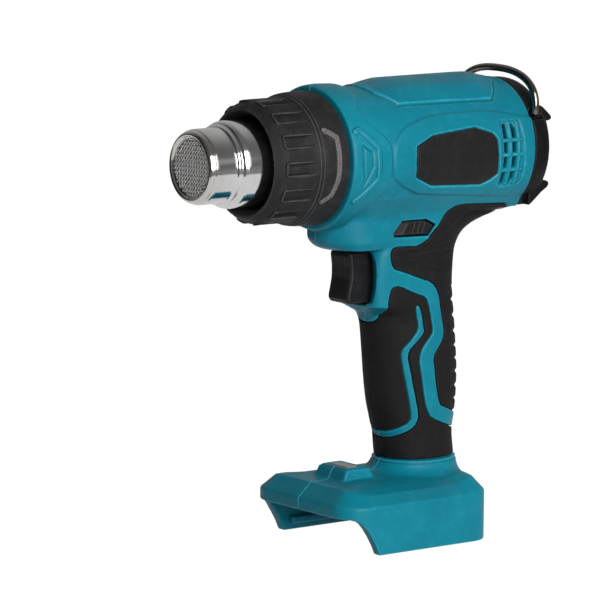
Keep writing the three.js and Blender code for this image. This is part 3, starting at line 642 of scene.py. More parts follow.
# name: base, dark and light colour in sRGB, roughness range, other settings
PLASTICS = {
    "teal_plastic": ((9, 128, 147), (7, 117, 137), (48, 164, 186), (0.36, 0.5),
                     dict(edge_gain=0.75)),
    "badge_plate": ((30, 28, 29), (23, 22, 23), (62, 60, 60), (0.5, 0.68),
                    dict(grain=900.0, grain_depth=0.00011, edge_gain=0.4)),
    "black_plastic": ((20, 20, 21), (15, 15, 16), (60, 59, 60), (0.42, 0.58),
                      dict(edge_gain=0.5, specular=0.12)),
    "trigger_plastic": ((28, 28, 30), (22, 22, 23), (72, 71, 72), (0.4, 0.55),
                        dict(edge_gain=0.55)),
    "fan_plastic": ((52, 54, 58), (42, 44, 47), (92, 94, 98), (0.4, 0.55), {}),
    "duct_plastic": ((40, 40, 42), (30, 30, 32), (70, 70, 72), (0.5, 0.65), {}),
    "switch_plastic": ((32, 32, 34), (24, 24, 26), (66, 66, 68), (0.4, 0.6), {}),
    "window_grey": ((140, 140, 137), (118, 118, 116), (178, 178, 175), (0.18, 0.3),
                    dict(edge_gain=0.2, coat=0.3)),
    "circuit_board": ((30, 96, 58), (22, 78, 48), (70, 130, 88), (0.3, 0.4), {}),
    "mica": ((206, 196, 168), (188, 176, 146), (224, 216, 196), (0.35, 0.6),
             dict(grain=500.0)),
    "ceramic": ((232, 226, 212), (216, 208, 190), (244, 240, 232), (0.7, 0.85),
                dict(grain=1200.0)),
    "guard_plastic": ((38, 37, 38), (29, 28, 29), (92, 90, 91), (0.5, 0.66),
                      dict(grain=1500.0, grain_depth=0.00006, edge_gain=0.55,
                           mark=(124, 119, 120))),
}
# name: base, dark and light colour in sRGB, roughness range
RUBBERS = {
    "grip_rubber": ((22, 21, 22), (17, 16, 17), (46, 44, 45), (0.62, 0.8)),
    "lead_red": ((164, 38, 32), (140, 30, 26), (190, 80, 70), (0.4, 0.55)),
    "lead_black": ((24, 24, 24), (18, 18, 18), (60, 60, 60), (0.4, 0.55)),
    "lead_white": ((216, 210, 196), (200, 192, 176), (232, 228, 220), (0.6, 0.8)),
}
# name: base and tint colour, linear, roughness range, other settings
METALS = {
    "chrome_tube": ((0.74, 0.74, 0.745), (0.66, 0.66, 0.665), (0.07, 0.16),
                    dict(brushed=0.5, turned=True, heat=(0.5, 0.44, 0.37))),
    "dark_steel": ((0.09, 0.088, 0.085), (0.05, 0.048, 0.047), (0.25, 0.4),
                   dict(turned=True)),
    "mesh_wire": ((0.92, 0.91, 0.9), (0.78, 0.77, 0.76), (0.26, 0.38), {}),
    "coil_wire": ((0.3, 0.27, 0.25), (0.2, 0.17, 0.15), (0.35, 0.5), {}),
    "cutout_can": ((0.66, 0.66, 0.67), (0.55, 0.55, 0.56), (0.25, 0.4), {}),
    "motor_can": ((0.6, 0.61, 0.62), (0.48, 0.49, 0.5), (0.25, 0.38), {}),
    "shaft_steel": ((0.62, 0.62, 0.63), (0.5, 0.5, 0.51), (0.18, 0.3), {}),
    "filter_mesh": ((0.14, 0.14, 0.145), (0.09, 0.09, 0.09), (0.4, 0.55), {}),
    "ring_wire": ((0.24, 0.215, 0.195), (0.17, 0.15, 0.135), (0.14, 0.24),
                  dict(brushed=0.3)),
    "terminal_brass": ((0.72, 0.55, 0.3), (0.6, 0.45, 0.24), (0.2, 0.35), {}),
    "screw_steel": ((0.3, 0.3, 0.31), (0.2, 0.2, 0.21), (0.25, 0.4), {}),
}
MATERIALS = {}
for name, (*spec, settings) in PLASTICS.items():
    MATERIALS[name] = plastic(name, *spec, **settings)
for name, spec in RUBBERS.items():
    MATERIALS[name] = rubber(name, *spec)
for name, (*spec, settings) in METALS.items():
    MATERIALS[name] = metal(name, *spec, **settings)
MATERIALS["housing"] = MATERIALS["teal_plastic"]  # under the name of its slot


# ---- the body: barrel, deck, block, grip and foot, for the half with X >= 0 ---------------
# Outlines in side view, (Y, Z).
REAR_FIELD = [  # soft layer over the back of the grip
    (106.8, 156.9), (80.6, 158.3), (75.5, 157.6), (72.2, 155.5), (67.2, 149.2), (64.7, 147.1),
    (62.5, 144.7), (60.4, 142.8), (57.2, 140.9), (54.0, 140.1), (48.7, 140.4), (42.6, 140.5),
    (40.9, 140.1), (39.7, 138.8), (39.2, 137.0), (39.5, 134.4), (40.2, 132.1), (41.3, 130.7),
    (42.8, 129.8), (46.0, 128.8), (51.4, 126.9), (56.9, 124.8), (62.4, 123.0), (65.3, 121.3),
    (67.7, 118.7), (69.2, 115.4), (70.8, 109.6), (72.6, 102.6), (73.5, 98.2), (72.7, 94.0),
    (69.6, 90.1), (67.2, 87.2), (66.8, 84.5), (67.6, 80.1), (68.5, 74.0), (69.8, 67.5),
    (70.8, 64.4), (72.0, 62.5), (76.1, 60.9), (83.6, 58.0), (98.0, 52.8), (98, 95), (92, 130),
    (98, 144), (117, 146), (118, 149.5), (111, 153.2),
]
FRONT_FIELD = [  # soft layer over the front of the grip
    (28, 102.4), (36, 102.4), (39.2, 102.8), (40.2, 104.0), (40.8, 106.2), (39.6, 109.8),
    (38.7, 113.8), (39.4, 117.5), (40.0, 120.2), (41.3, 121.6), (44.0, 121.8), (46.6, 121.0),
    (50.7, 119.1), (55.1, 117.3), (59.4, 115.8), (61.4, 114.2), (63.0, 110.8), (64.4, 106.0),
    (65.7, 100.3), (65.7, 97.8), (64.1, 95.8), (61.5, 93.0), (59.6, 90.2), (58.7, 87.2),
    (58.6, 84.2), (59.2, 80.9), (60.4, 74.8), (61.5, 68.3), (62.4, 63.9), (63.5, 60.8),
    (65.4, 57.6), (68.7, 55.6), (73.6, 53.7), (80.4, 51.3), (98, 46.2), (98, 28), (36, 28),
    (36, 46.9), (46.8, 47.3), (48.7, 47.3), (51.5, 49.1), (53.8, 50.5), (56.2, 52.2),
    (58.0, 54.3), (59.1, 57.3), (58.8, 60.7), (57.4, 67.3), (55.8, 73.8), (54.3, 81.2),
    (53.0, 86.4), (53.2, 88.9), (54.1, 90.9), (57.6, 94.6), (59.9, 97.0), (60.9, 99.0),
    (60.3, 102.1), (59.3, 106.9), (57.9, 110.4), (56.9, 111.7), (56.1, 111.8), (55.3, 110.9),
    (55.9, 107.6), (57.0, 104.0), (57.4, 101.0), (56.7, 98.9), (54.0, 95.2), (50.4, 91.1),
    (49.7, 88.6), (49.9, 86.6), (51.1, 80.0), (52.6, 73.1), (54.1, 66.2), (55.4, 59.6),
    (55.4, 57.0), (54.1, 54.9), (52.1, 53.5), (50.0, 52.1), (48.4, 50.8), (46.0, 50.2),
    (36, 49.9), (28, 60),
]
BLOCK = [(-6, 168), (-6, 139.7), (62, 139.5), (90, 158), (90, 168)]  # over the trigger
LOCK_OPENING = [(39.8, 146.9), (45.3, 152.7), (59.8, 152.6), (65.8, 149.6), (61.6, 144.6),
                (41.0, 145.2)]
TRIGGER_DISH = [
    (10, 139.3), (25.5, 139.3), (28.4, 138.9), (30.2, 137.2), (31.2, 133.7), (31.7, 128.2),
    (31.6, 123.2), (31.1, 119.0), (30.3, 115.3), (28.7, 112.5), (26.5, 110.6), (22, 108.5),
    (10, 108),
]
FOOT_SKIRT = [  # cut away under the front of the foot
    (-10, 17.8), (3.6, 17.7), (6.4, 16.9), (8.3, 15.4), (10.4, 13.0), (13.2, 9.0),
    (15.9, 4.4), (18.0, -0.3), (19, -4), (-10, -4),
]
# Grip sections: Z, front Y, rear Y, half width, exponent of the front half's curve.
GRIP = [
    (34.0, 49.9, 88.9, 17.0, 2.1), (36.6, 49.5, 88.6, 17, 2.1), (42, 48.7, 87.8, 17, 2.1),
    (48, 48.1, 87.2, 17, 2.1), (52, 46.9, 87.8, 17, 2.1), (57, 45.5, 89, 17.1, 2.1),
    (65, 43.4, 90.2, 17.2, 2.1), (77, 41.7, 90.8, 17.3, 2.1), (91.5, 40.4, 89.8, 17.5, 2.1),
    (102, 39.2, 88.8, 17.6, 2.1), (107, 38.0, 88.2, 17.7, 2.4), (109.5, 35.2, 87.8, 17.8, 3.2),
    (111.4, 32.8, 87.5, 18.0, 5), (112.6, 31.4, 87.4, 18.2, 7), (121, 31.2, 86.5, 18.4, 7),
    (130, 31.2, 86.9, 18.8, 7), (136, 32, 87.6, 19.0, 7), (141, 33, 89.8, 19.2, 5),
    (145, 32, 94, 19.3, 3), (148, 31, 100.5, 19.3, 2.6), (150, 30, 107.5, 19.2, 2.4),
    (151.6, 30, 113.8, 19, 2.2), (156, 30, 114.2, 18.8, 2.2), (160, 30, 114.2, 18.6, 2.2),
]
# Outlines on the barrel, (Y, degrees from the top).
BADGE = [(43.0, 80), (53.5, 72), (79.1, 68), (89.0, 74), (91.4, 79), (92.6, 108),
         (88.8, 113), (83.6, 117), (53.6, 114), (43.1, 105), (42.5, 92)]
SIDE_PANEL = [
    (30.2, 76), (33.5, 68.5), (40, 61.8), (53.4, 55), (65.5, 53.6), (86.8, 53.6),
    (97.3, 56.4), (108, 60.5), (122, 64), (122, 135), (110.2, 137), (73.9, 129.5), (47, 124),
    (36.6, 115.4), (30.2, 107), (28.4, 96), (28.4, 84),
]
CHEVRON = [(7.4, 64.5), (9.6, 63.0), (19.1, 78.0), (19.6, 103.0), (8.2, 120.8)]
EMBLEM = [(9.9, 73.8), (15.9, 80.6), (16.4, 93.0), (11.0, 110.5), (9.9, 96.0)]
VENT_FIELD = [(93.9, 64.6), (106.6, 64.6), (107.6, 80), (108.0, 100), (108.2, 118),
              (106.8, 121.4), (96.0, 122.4), (94.0, 119)]
VENT_SLOTS = [(66.6, 79.0), (82.6, 91.2), (94.8, 104.4), (108.2, 119.4)]  # start, end angle
# One side of the deck on top of the barrel, (Y, arc length), without its two ends.
DECK_SIDE = [(32.3, 13.6), (39.9, 23.8), (67.2, 24.2), (95.8, 24.9), (100.8, 19.2),
             (107.4, 8.8)]


def relief(ys, angles):
    """Outer radius of the barrel over (Y, degrees from the top)."""
    y, t = ys[:, None], angles[None, :]
    s = RELIEF_RADIUS * t * DEGREE
    base = np.interp(ys, [0, 24, 60, 90, 112, 114.2, 115.2],
                     [32.2, 32.15, 32.3, 32.3, 32.1, 31.9, 31.4])[:, None]
    # raised ring at the front, its rear edge wandering round the barrel
    ring_height = np.interp(ys, [4.1, 5.2, 7.0, 10.8, 19.0, 23.0, 30.0],
                            [1.2, 1.5, 2.0, 2.25, 1.95, 1.75, 1.6])[:, None]
    ring_edge = pchip(
        [0, 11, 30, 45, 57, 64, 70, 82, 99, 110, 120, 131, 140, 180],
        [22.6, 22.4, 19.5, 16.2, 17.6, 21.1, 25.4, 28.4, 28.6, 26.4, 23.0, 18.7, 16.0, 15.5],
        angles)[None, :]
    slope_width = np.interp(angles, [0, 30, 60, 180], [4.2, 3.4, 2.6, 2.6])[None, :]
    near_top = ease((46 - t) / 34)
    base = base - 0.35 * near_top * ease((y - 17) / 5) * ease((40 - y) / 5)
    r = base + (ring_height - 0.3 * near_top) * ease((ring_edge + 0.6 - y) / slope_width)
    # raised panel round the badge and the vents
    panel = poly(arc(SIDE_PANEL, 32.6), y, s, 4.0)
    r = r + 1.0 * ease((-panel + 0.4) / 2.2) * (ease((y - 26) / 3.5))
    # chevron emblem in the ring: a rib round a sunk triangle
    ring_arc = 34.2 / RELIEF_RADIUS * s
    rib = line(rounded(arc(CHEVRON, 34.2), 2.0, closed=False), y, ring_arc)
    r = r + 0.8 * ease((1.45 - rib) / 0.6)
    emblem = poly(arc(EMBLEM, 34.2), y, ring_arc, 0.9)
    r = r - 0.75 * ease((-emblem + 0.25) / 0.6) + 0.45 * ease((-emblem - 1.0) / 0.7)
    # deck along the top
    mirrored = [(at, -side) for at, side in DECK_SIDE[::-1]]
    deck = poly([(30.0, 0.0)] + DECK_SIDE + [(108.4, 0.0)] + mirrored, y, s, 1.2)
    slope = np.minimum(np.minimum((y - 34.5) / 12.5, (107.5 - y) / 9.0), (-deck - 1.3) / 8.6)
    slope = np.clip(slope, 0, 1)
    r = r + 0.95 * ease((-deck + 0.1) / 0.9) + 1.85 * (0.25 * ease(slope) + 0.75 * slope)
    r = r - 0.5 * ease(1 - np.abs(deck - 0.4) / 0.6) * ease((t - 4) / 6)
    # vent field with its grate
    vents = poly(arc(VENT_FIELD, 32.6), y, s, 1.0)
    r = r - 0.65 * ease((-vents + 0.1) / 0.6)
    bars = np.minimum.reduce([np.abs(t - at) for at in (80.8, 93.0, 106.2)]) * DEGREE * 32.4
    posts = np.minimum.reduce([np.abs(y - at) for at in (99.4, 104.6)])
    grate = np.minimum(bars, posts)
    r = r + 0.6 * ease((0.85 - grate) / 0.4) * ease((-vents - 0.2) / 0.6)
    # seat of the badge
    seat = poly(arc(BADGE), y, s, 1.0)
    return r + 0.16 * ease(1 - np.abs(seat - 0.95) / 0.6) - 1.6 * ease((0.28 - seat) / 0.35)


def vent_cut(ys, angles):
    """Distance in the (Y, arc) sheet to the vent slots, negative inside."""
    s = 32.4 * angles[None, :] * DEGREE
    dist = np.full((len(ys), len(angles)), 9.0, np.float32)
    for start, end, clipped in ((95.7, 97.9, False), (101.0, 103.2, True)):
        for i, (low, high) in enumerate(VENT_SLOTS):
            corners = [(start, low), (end, low), (end, high), (start, high)]
            if clipped and i == 0:
                corners[1:2] = [(start + 1.0, low), (end, low + 4.0)]
            if clipped and i == 3:
                corners[2:3] = [(end, high - 4.0), (start + 1.0, high)]
            dist = np.minimum(dist, poly(arc(corners, 32.4), ys[:, None], s, 0.45))
    return dist


def barrel_fields(grid):
    """Relief radius and vent distance over the grid, by table."""
    x, _, z = grid.axes
    column = np.degrees(np.arctan2(np.abs(x), z - AXIS_Z))[:, 0, :] / ANGLE_STEP
    angles = np.arange(0, 180.76, ANGLE_STEP)
    ys = grid.lines[1].astype(float)
    return [spread(table(ys, angles).astype(np.float32), column)
            for table in (relief, vent_cut)]


def barrel_solid(grid, radius, relief_radius):
    """Barrel with flat flanks that run from it down to the top edge of the block."""
    x, y, z = grid.axes
    nose = np.sqrt(np.clip(1 - (np.clip(NOSE_Y - y, 0, 19) / NOSE_LENGTH) ** 2, 0, 1))
    top_half, rise = 26.6, 10.3
    lean = top_half - 19.4 * nose
    flank = (np.abs(x) - top_half) * rise - (z - 165.2) * lean
    flank = flank / np.sqrt(rise**2 + lean**2)
    flank = overlap(flank, 154.9 - z, z - 165.6)
    barrel = (radius - relief_radius) * 0.98
    barrel = smin(barrel, smax(flank, y - BODY_END, 0.5), 0.7)
    return smax(barrel, smax(5.0 - y, y - BODY_END, 0.6), 0.9)


def grip_solid(grid):
    """Loft through the grip sections; far away it is a large number."""
    x, y, z = grid.axes
    heights = grid.lines[2].astype(float)
    columns = list(zip(*GRIP))
    curves = [pchip(columns[0], column, heights) for column in columns[1:]]
    curves.append(pchip([34, 60, 100, 134, 141, 160], [69.2, 67.2, 64.2, 61.0, 62.0, 62.0],
                        heights))
    in_y = np.where((grid.lines[1] > 22) & (grid.lines[1] < 122))[0]
    in_z = np.where((grid.lines[2] > 30) & (grid.lines[2] < 162))[0]
    y_part, z_part = slice(in_y[0], in_y[-1] + 1), slice(in_z[0], in_z[-1] + 1)
    y = y[:, y_part]
    front_y, rear_y, half, power, middle = (
        curve[None, None, :].astype(np.float32)[..., z_part] for curve in curves)
    front = y < middle
    v = np.where(front, (middle - y) / (middle - front_y), (y - middle) / (rear_y - middle))
    power = np.where(front, power, 2.1).astype(np.float32)
    u = np.abs(x) / half
    part = (np.maximum(u, 1e-4) ** power + np.maximum(v, 1e-4) ** power) ** (1 / power) - 1
    # scale to measure distance near the surface
    slope = np.gradient(part, grid.step)
    part = part / np.maximum(np.sqrt(slope[0] ** 2 + slope[1] ** 2 + slope[2] ** 2), 1e-3)
    out = np.full(grid.shape, 60.0, np.float32)
    out[:, y_part, z_part] = np.clip(part, -20, 60)
    return smax(out, grid.axes[1] - BODY_END, 0.8)


def foot_solid(grid):
    """The solid foot, and the distance to its outline seen from above."""
    half, corner, rear_end = 39.25, 14, 89.5
    rear_half, rear_y, power = 20.8, 68.7, 3.5
    x, y = np.abs(grid.axes[0][:, :, 0]), grid.axes[1][:, :, 0]
    flat = half - corner
    round_off = np.hypot(np.maximum(x - flat, 0), np.maximum(corner - y, 0)) - corner
    front = np.where((x > flat) & (y < corner), round_off, np.maximum(x - half, -y))
    u, v = np.maximum(x / half, 1e-4), np.maximum((y - rear_y) / rear_half, 0)
    total = np.maximum(u**power + v**power, 1e-6)
    oval = total ** (1 / power) - 1
    slope = np.hypot(u ** (power - 1) / half, v ** (power - 1) / rear_half)
    slope = slope * total ** (1 / power - 1)
    rear = np.clip(oval / np.maximum(slope, 1 / 60), -40, 60)
    plan = np.maximum(np.where(y < 40, front, rear), y - rear_end).astype(np.float32)
    # height of the top by depth inside the outline: side, front and rear
    inset = -plan
    front_share = ease((26 - y) / 20) * ease((38 - x) / 14)
    rear_share = ease((y - 66) / 13)
    side_z = np.interp(inset, [-3, 0, 6.0, 12.2, 18, 25, 40],
                       [21.0, 23.1, 27.4, 29.2, 30.3, 30.8, 32.0])
    front_z = np.interp(inset, [-3, 0, 7.4, 18, 40], [21.5, 23.6, 30.3, 30.8, 32.5])
    rear_z = np.interp(inset, [-3, 0, 6.0, 12.0, 18, 40], [21.5, 23.6, 29.6, 31.8, 32.6, 33.5])
    top = (side_z * (1 - front_share) * (1 - rear_share) + front_z * front_share
           + rear_z * rear_share).astype(np.float32)
    # the rise towards the neck
    x, y, z = grid.axes
    lid = (z - top[:, :, None]) * 0.86
    neck = (np.sqrt((x / 18.9) ** 2 + ((y - 68.8) / 20.9) ** 2) - 1) * 19.5
    neck = neck - 0.055 * np.clip(36.8 - z, 0, 6) ** 2 * 0.6
    lid = smin(lid, smax(neck, z - 36.9, 0.8), 5.5)
    plan = plan[:, :, None]
    return smax(plan, lid, 0.8), plan


def window_bump(grid):
    """Raised seat of the charge window on top of the foot."""
    x, y, z = grid.axes
    levels = [30.0, 33.0, 36.0]
    half = np.interp(z, levels, [11.4, 11.2, 10.8])
    front = np.interp(z, levels, [17.5, 18.8, 20.2])
    rear = np.interp(z, levels, [36.6, 35.4, 33.4])
    bump = smax(np.abs(x) - half, np.maximum(front - y, y - rear), 1.4) * 0.85
    return np.maximum(smax(bump, z - 36.4, 0.8), 29.0 - z)


def block_solid(grid):
    """Block over the trigger, with a rounded front."""
    x, y, z = grid.axes
    half = 19.35 - 1.35 * np.clip((143.5 - z) / 2.5, 0, 1.6)
    nose = np.sqrt((x / half) ** 2 + ((np.minimum(y, NOSE_Y) - NOSE_Y) / NOSE_LENGTH) ** 2) - 1
    plan = np.where(y < NOSE_Y, nose * 19.1, np.abs(x) - half)
    under = np.clip(146.0 - z, 0, 6)
    plan = plan + (6 - np.sqrt(np.maximum(36 - under**2, 0))) * ease((24.0 - y) / 12.0)
    return smax(poly(BLOCK, y, z, 3.0), plan, 1.0)


def body_solid(grid, radius, relief_radius, foot):
    """The whole outer body, with the hollow that the trigger stands in."""
    x, y, z = grid.axes
    upper = smin(barrel_solid(grid, radius, relief_radius), block_solid(grid), 1.2)
    upper = smin(upper, grip_solid(grid), 1.4)
    body = smin(upper, smin(foot, window_bump(grid), 1.0), 0.8)
    y_end = int((41.0 - grid.lo[1]) / grid.step)
    part = slice(*(int((height - grid.lo[2]) / grid.step) for height in (105.0, 143.0)))
    z = z[..., part]
    dish_y = y[:, :y_end] + 0.47 * ease((z - 111.5) / 3.0) * (np.abs(x) - 18.0)
    dish = poly(TRIGGER_DISH, dish_y, z, 1.0)
    body[:, :y_end, part] = cut(body[:, :y_end, part], dish, 0.8)
    return body


def hollow_shell(grid, body, radius, rear, front):
    """The body hollowed to its wall and recessed for the soft layer."""
    _, y, z = grid.axes
    inner = np.minimum(np.maximum(body + WALL, 22.0 - z), smax(radius - BORE, 8.0 - y, 0.5))
    inner = np.where((radius < BORE) & (y > 8.0), np.minimum(inner, radius - BORE), inner)
    shell = cut(body, inner, 0.5)
    soft = smax(np.minimum(rear, front), 37.4 - z, 0.3)
    soft = np.maximum(soft, z - 159.5)
    return cut(shell, cut(soft - 0.16, body + 1.75, 0.4), 0.75)


def open_shell(grid, shell, body, radius, vents, plan):
    """The shell with its openings, the foot's bay, and the bay's rails and ribs."""
    x, y, z = grid.axes
    side = np.abs(x)
    # mouth, trigger, lock and vents
    shell = cut(shell, np.maximum(radius - 23.6, y - 20.0), 0.6)
    trigger = smax(smax(side - 8.6, y - 47.0, 0.3), smax(112.4 - z, z - 138.3, 0.3), 0.6)
    shell = cut(shell, trigger, 0.9)
    shell = cut(shell, np.maximum(poly(LOCK_OPENING, y, z, 0.9), side - 30.0), 0.7)
    shell = cut(shell, np.maximum(vents, 24.0 - radius), 0.45)
    # bay in the foot, wider towards the front
    bay = smax(smax(plan + 4.9, y - 84.6, 0.5), z - 19.5, 0.8)
    wide = smax(smax(side - 34.35, plan + 2.4, 0.4), slab(y, 21.6, 18.4), 0.4)
    shell = cut(shell, np.minimum(bay, smax(wide, z - 19.5, 0.8)), 0.7)
    shell = cut(shell, poly(FOOT_SKIRT, y, z, 1.2), 0.7)
    shell = smax(shell, -z, 0.8)
    rail = smax(smax(30.2 - side, side - 35.2, 0.3),
                smax(slab(y, 43.0, 23.0), slab(z, 5.2, 1.6), 0.8), 0.6)
    shell = smin(shell, rail, 0.6)
    # ribs across the bay's ceiling
    for at in (12.0, 26.0):
        rib = box((side, z, y), (24.0, 18.6, at), (6.5, 1.4, 0.7), 0.3, 0.3)
        shell = smin(shell, rib, 0.4)
    window = smax(smax(side - 6.9, slab(y, WINDOW_Y, 3.5), 0.6),
                  np.maximum(26.0 - z, z - 45.0), 0.3)
    shell = cut(shell, window, 0.6)
    # hole in the ceiling for the leads
    shell = np.maximum(shell, -overlap(side - 9.0, slab(y, 59.0, 7.0), slab(z, 21.0, 3.5)))
    # thin groove under the soft layer, round the collar of the foot
    return cut(shell, np.hypot(body, z - 35.8) - 0.45, 0.3)


def screw_distance(grid, name):
    _, y, z = grid.axes
    screw_y, screw_z = SCREWS[name]
    return np.sqrt((y - screw_y) ** 2 + (z - screw_z) ** 2)


def build_shells(grid, shell, split):
    half = smax(shell, split, 0.28)
    field_piece("shell_left", "housing_left", "housing", half, grid)
    x = grid.axes[0]
    for name in SCREWS:
        # the screw's hole, and the boss under its seat
        dist = screw_distance(grid, name)
        half = cut(half, np.maximum(dist - 3.1, 9.0 - x), 0.5)
        half = np.minimum(half, overlap(dist - 3.9, x - 9.0, 0.3 - x))
    field_piece("shell_right", "housing_right", "housing", half, grid, mirror=True)


# Heights where the ribs down the back of the grip change phase by one, from -1.
RIB_HEIGHTS = [54.4, 60.9, 66.5, 73.4, 79.9, 86.0, 92.4, 99.8, 107.7, 115.4, 122.6]
# Moulded lines that converge on the thumb patch, (Y, Z).
THUMB_LINES = [
    [(44.0, 138.2), (56, 137.4), (75, 139.6)],
    [(48.5, 134.6), (60, 135.4), (76, 136.0)],
    [(49.0, 133.4), (60, 130.2), (74, 126.0)],
]


def soft_surface(grid, body):
    """Outside of the soft layer, ribbed down the back and moulded at the thumb."""
    x, y, z = grid.axes
    phase = np.interp(z, RIB_HEIGHTS, np.arange(-1.0, 10.0))
    ridge = ease((0.5 - np.abs(phase - np.round(phase))) / 0.26)
    band = ease((y - 79.0) / 2.0) * ease((z - 56.8) / 1.2) * ease((119.0 - z) / 1.2)
    ribs = (-0.2 * ridge - 1.0 * (1 - ridge)) * band
    marks = np.minimum.reduce([line(points, y, z) for points in THUMB_LINES])
    marks = -0.42 * ease((0.95 - marks) / 0.7)
    patch = line([(50, 134.2), (72, 133.0)], y, z)
    dish = -0.35 * ease((9.0 - patch) / 7.0) * ease((x - 8.0) / 6.0)
    return body - 0.12 - ribs - marks - dish


def build_skins(grid, body, radius, split, areas):
    """The soft layer's rear and front parts, each a left and a right skin."""
    _, y, z = grid.axes
    outer = soft_surface(grid, body)
    for tag, area in areas.items():
        skin = smax(cut(outer, body + 1.6, 0.3), smax(area + 0.1, 37.5 - z, 0.5), 0.95)
        skin = overlap(skin, z - 159.3, y - BODY_END)
        skin = smax(skin, 30.6 - radius, 0.2)
        skin = smax(skin, split, 0.45)
        field_piece(tag + "_skin_left", tag + "_left", "grip_rubber", skin, grid)
        for name in SCREWS:
            if name in SKIN_SCREWS:
                skin = cut(skin, screw_distance(grid, name) - 4.0, 0.6)
        field_piece(tag + "_skin_right", tag + "_right", "grip_rubber", skin, grid,
                    mirror=True)


def build_body():
    """Both shells and the soft skins; gives the grid and the body field."""
    grid = Grid((-2.2, -3.0, -1.6), (41.2, 118.0, 220.2), step=0.45, quick_step=0.8)
    x, y, z = grid.axes
    radius = barrel_radius(grid)
    relief_radius, vents = barrel_fields(grid)
    foot, plan = foot_solid(grid)
    body = body_solid(grid, radius, relief_radius, foot)
    rear, front = poly(REAR_FIELD, y, z, 1.4), poly(FRONT_FIELD, y, z, 1.2)
    shell = hollow_shell(grid, body, radius, rear, front)
    shell = open_shell(grid, shell, body, radius, vents, plan)
    split = 0.03 - x
    build_shells(grid, shell, split)
    build_skins(grid, body, radius, split, {"grip_rear": rear, "grip_front": front})
    return grid, body


# ---- smaller pieces -----------------------------------------------------------------------
GUARD_PROFILE = [  # (Y, radius)
    (-34.4, 24.9), (-34.1, 25.5), (-33, 26.25), (-31, 27.6), (-29, 28.45), (-27.8, 28.8),
    (-16, 29.0), (-14, 29.2), (-12, 29.6), (-10, 30.2), (-8.2, 30.9), (-6, 31.1), (-2, 31.3),
    (3.6, 31.5), (4.45, 31.2), (4.5, 23.35), (9.5, 23.35), (9.5, 22.4), (-26, 21.7),
    (-28.6, 21.6), (-31, 22.5), (-33.4, 23.8), (-34.2, 24.4),
]
MARK_RADIUS = 31.3
MARK_LINE = [(y, angle * DEGREE * MARK_RADIUS) for y, angle in (
    (-7.6, 59.0), (-4.4, 62.4), (-1.7, 66.3), (-1.7, 84.0), (-2.0, 102.0), (-4.0, 117.0),
    (-7.9, 123.3))]


def build_guard():
    """Slotted guard ring round the nozzle, with a raised line on each side."""
    grid = Grid((-33, -35.8, AXIS_Z - 33), (33, 10.4, AXIS_Z + 33))
    y = grid.axes[1]
    radius = barrel_radius(grid)
    guard = turned_field(grid, rounded(GUARD_PROFILE, 0.5, 3))
    pitch, slot_arc = 360.0 / 14, 29.0 * DEGREE

    def slot_distance(y, t):
        phase = ((t - 91.5 + pitch / 2) % pitch) - pitch / 2
        a, b = np.abs(phase) * slot_arc - 2.6, slab(y, -20.8, 8.4)
        outside = np.hypot(np.maximum(a + 0.6, 0), np.maximum(b + 0.6, 0))
        return outside + np.minimum(np.maximum(a, b) + 0.6, 0) - 0.6

    slots = sheet(grid, slot_distance)
    floor_radius = 27.4 + 1.9 * ease((y + 16.6) / 4.2)
    # a fine raised edge round each slot, then the slot itself
    rim = smax(slab(slots, 0.45, 0.42), np.maximum(radius - 29.12, 27.0 - radius), 0.3)
    guard = smin(guard, rim, 0.25)
    guard = cut(guard, np.maximum(slots, floor_radius - radius), 0.35)
    # two fine ridges ahead of the raised rear band
    for ridge_y, ridge_radius in ((-11.1, 29.75), (-9.4, 30.3)):
        guard = smin(guard, np.hypot(y - ridge_y, radius - ridge_radius) - 0.42, 0.2)
    bar = sheet(grid, lambda y, t: line(MARK_LINE, y, np.abs(t) * DEGREE * MARK_RADIUS) - 1.35)
    top = np.interp(y, [-9, -6, -2, 2], [31.35, 31.5, 31.75, 31.75]).astype(np.float32)
    guard = smin(guard, smax(bar, np.maximum(radius - top, 28.0 - radius), 0.45), 0.3)

    def mark(points):
        """1 on top of the raised line, 0 elsewhere."""
        x, y, z = points.T
        angle = np.degrees(np.arctan2(np.abs(x), z - AXIS_Z))
        dist = line(MARK_LINE, y, angle * DEGREE * MARK_RADIUS)
        raised = np.hypot(x, z - AXIS_Z) > np.interp(y, [-9, -6, -2], [31.1, 31.3, 31.5])
        return ((dist < 1.5) & raised).astype(float)

    field_piece("guard_ring", "front_guard", "black_plastic", guard, grid, mark=mark,
                body="guard", material="guard_plastic")


NOZZLE_PROFILE = [  # (Y, radius)
    (-61.9, 12.9), (-62.75, 12.9), (-62.95, 13.25), (-62.9, 13.5), (-63.2, 13.9),
    (-63.9, 14.4), (-64.15, 15.0), (-64.0, 15.6), (-63.3, 16.3), (-62.5, 16.75),
    (-61.95, 16.95), (-61.6, 16.8), (-61.35, 16.95), (-60.9, 17.3), (-60.0, 17.45),
    (-50.6, 17.45), (-49.7, 17.6), (-49.1, 18.3), (-48.5, 18.55), (-47.9, 18.45),
    (-47.5, 18.4), (-47.0, 18.7), (-46.3, 19.45), (-45.6, 19.85), (-44.8, 20.2),
    (-43.8, 20.3), (-6, 20.3), (-6, 19.5), (-43.6, 19.5), (-48.4, 16.7), (-60.2, 16.7),
    (-60.2, 15.9), (-61.6, 15.9), (-61.6, 14.3), (-61.9, 13.6),
]
SEAT_PROFILE = [(-61.2, 13.2), (-61.2, 15.7), (-58.6, 15.7), (-58.6, 15.0), (-60.2, 13.5),
                (-60.2, 13.2)]


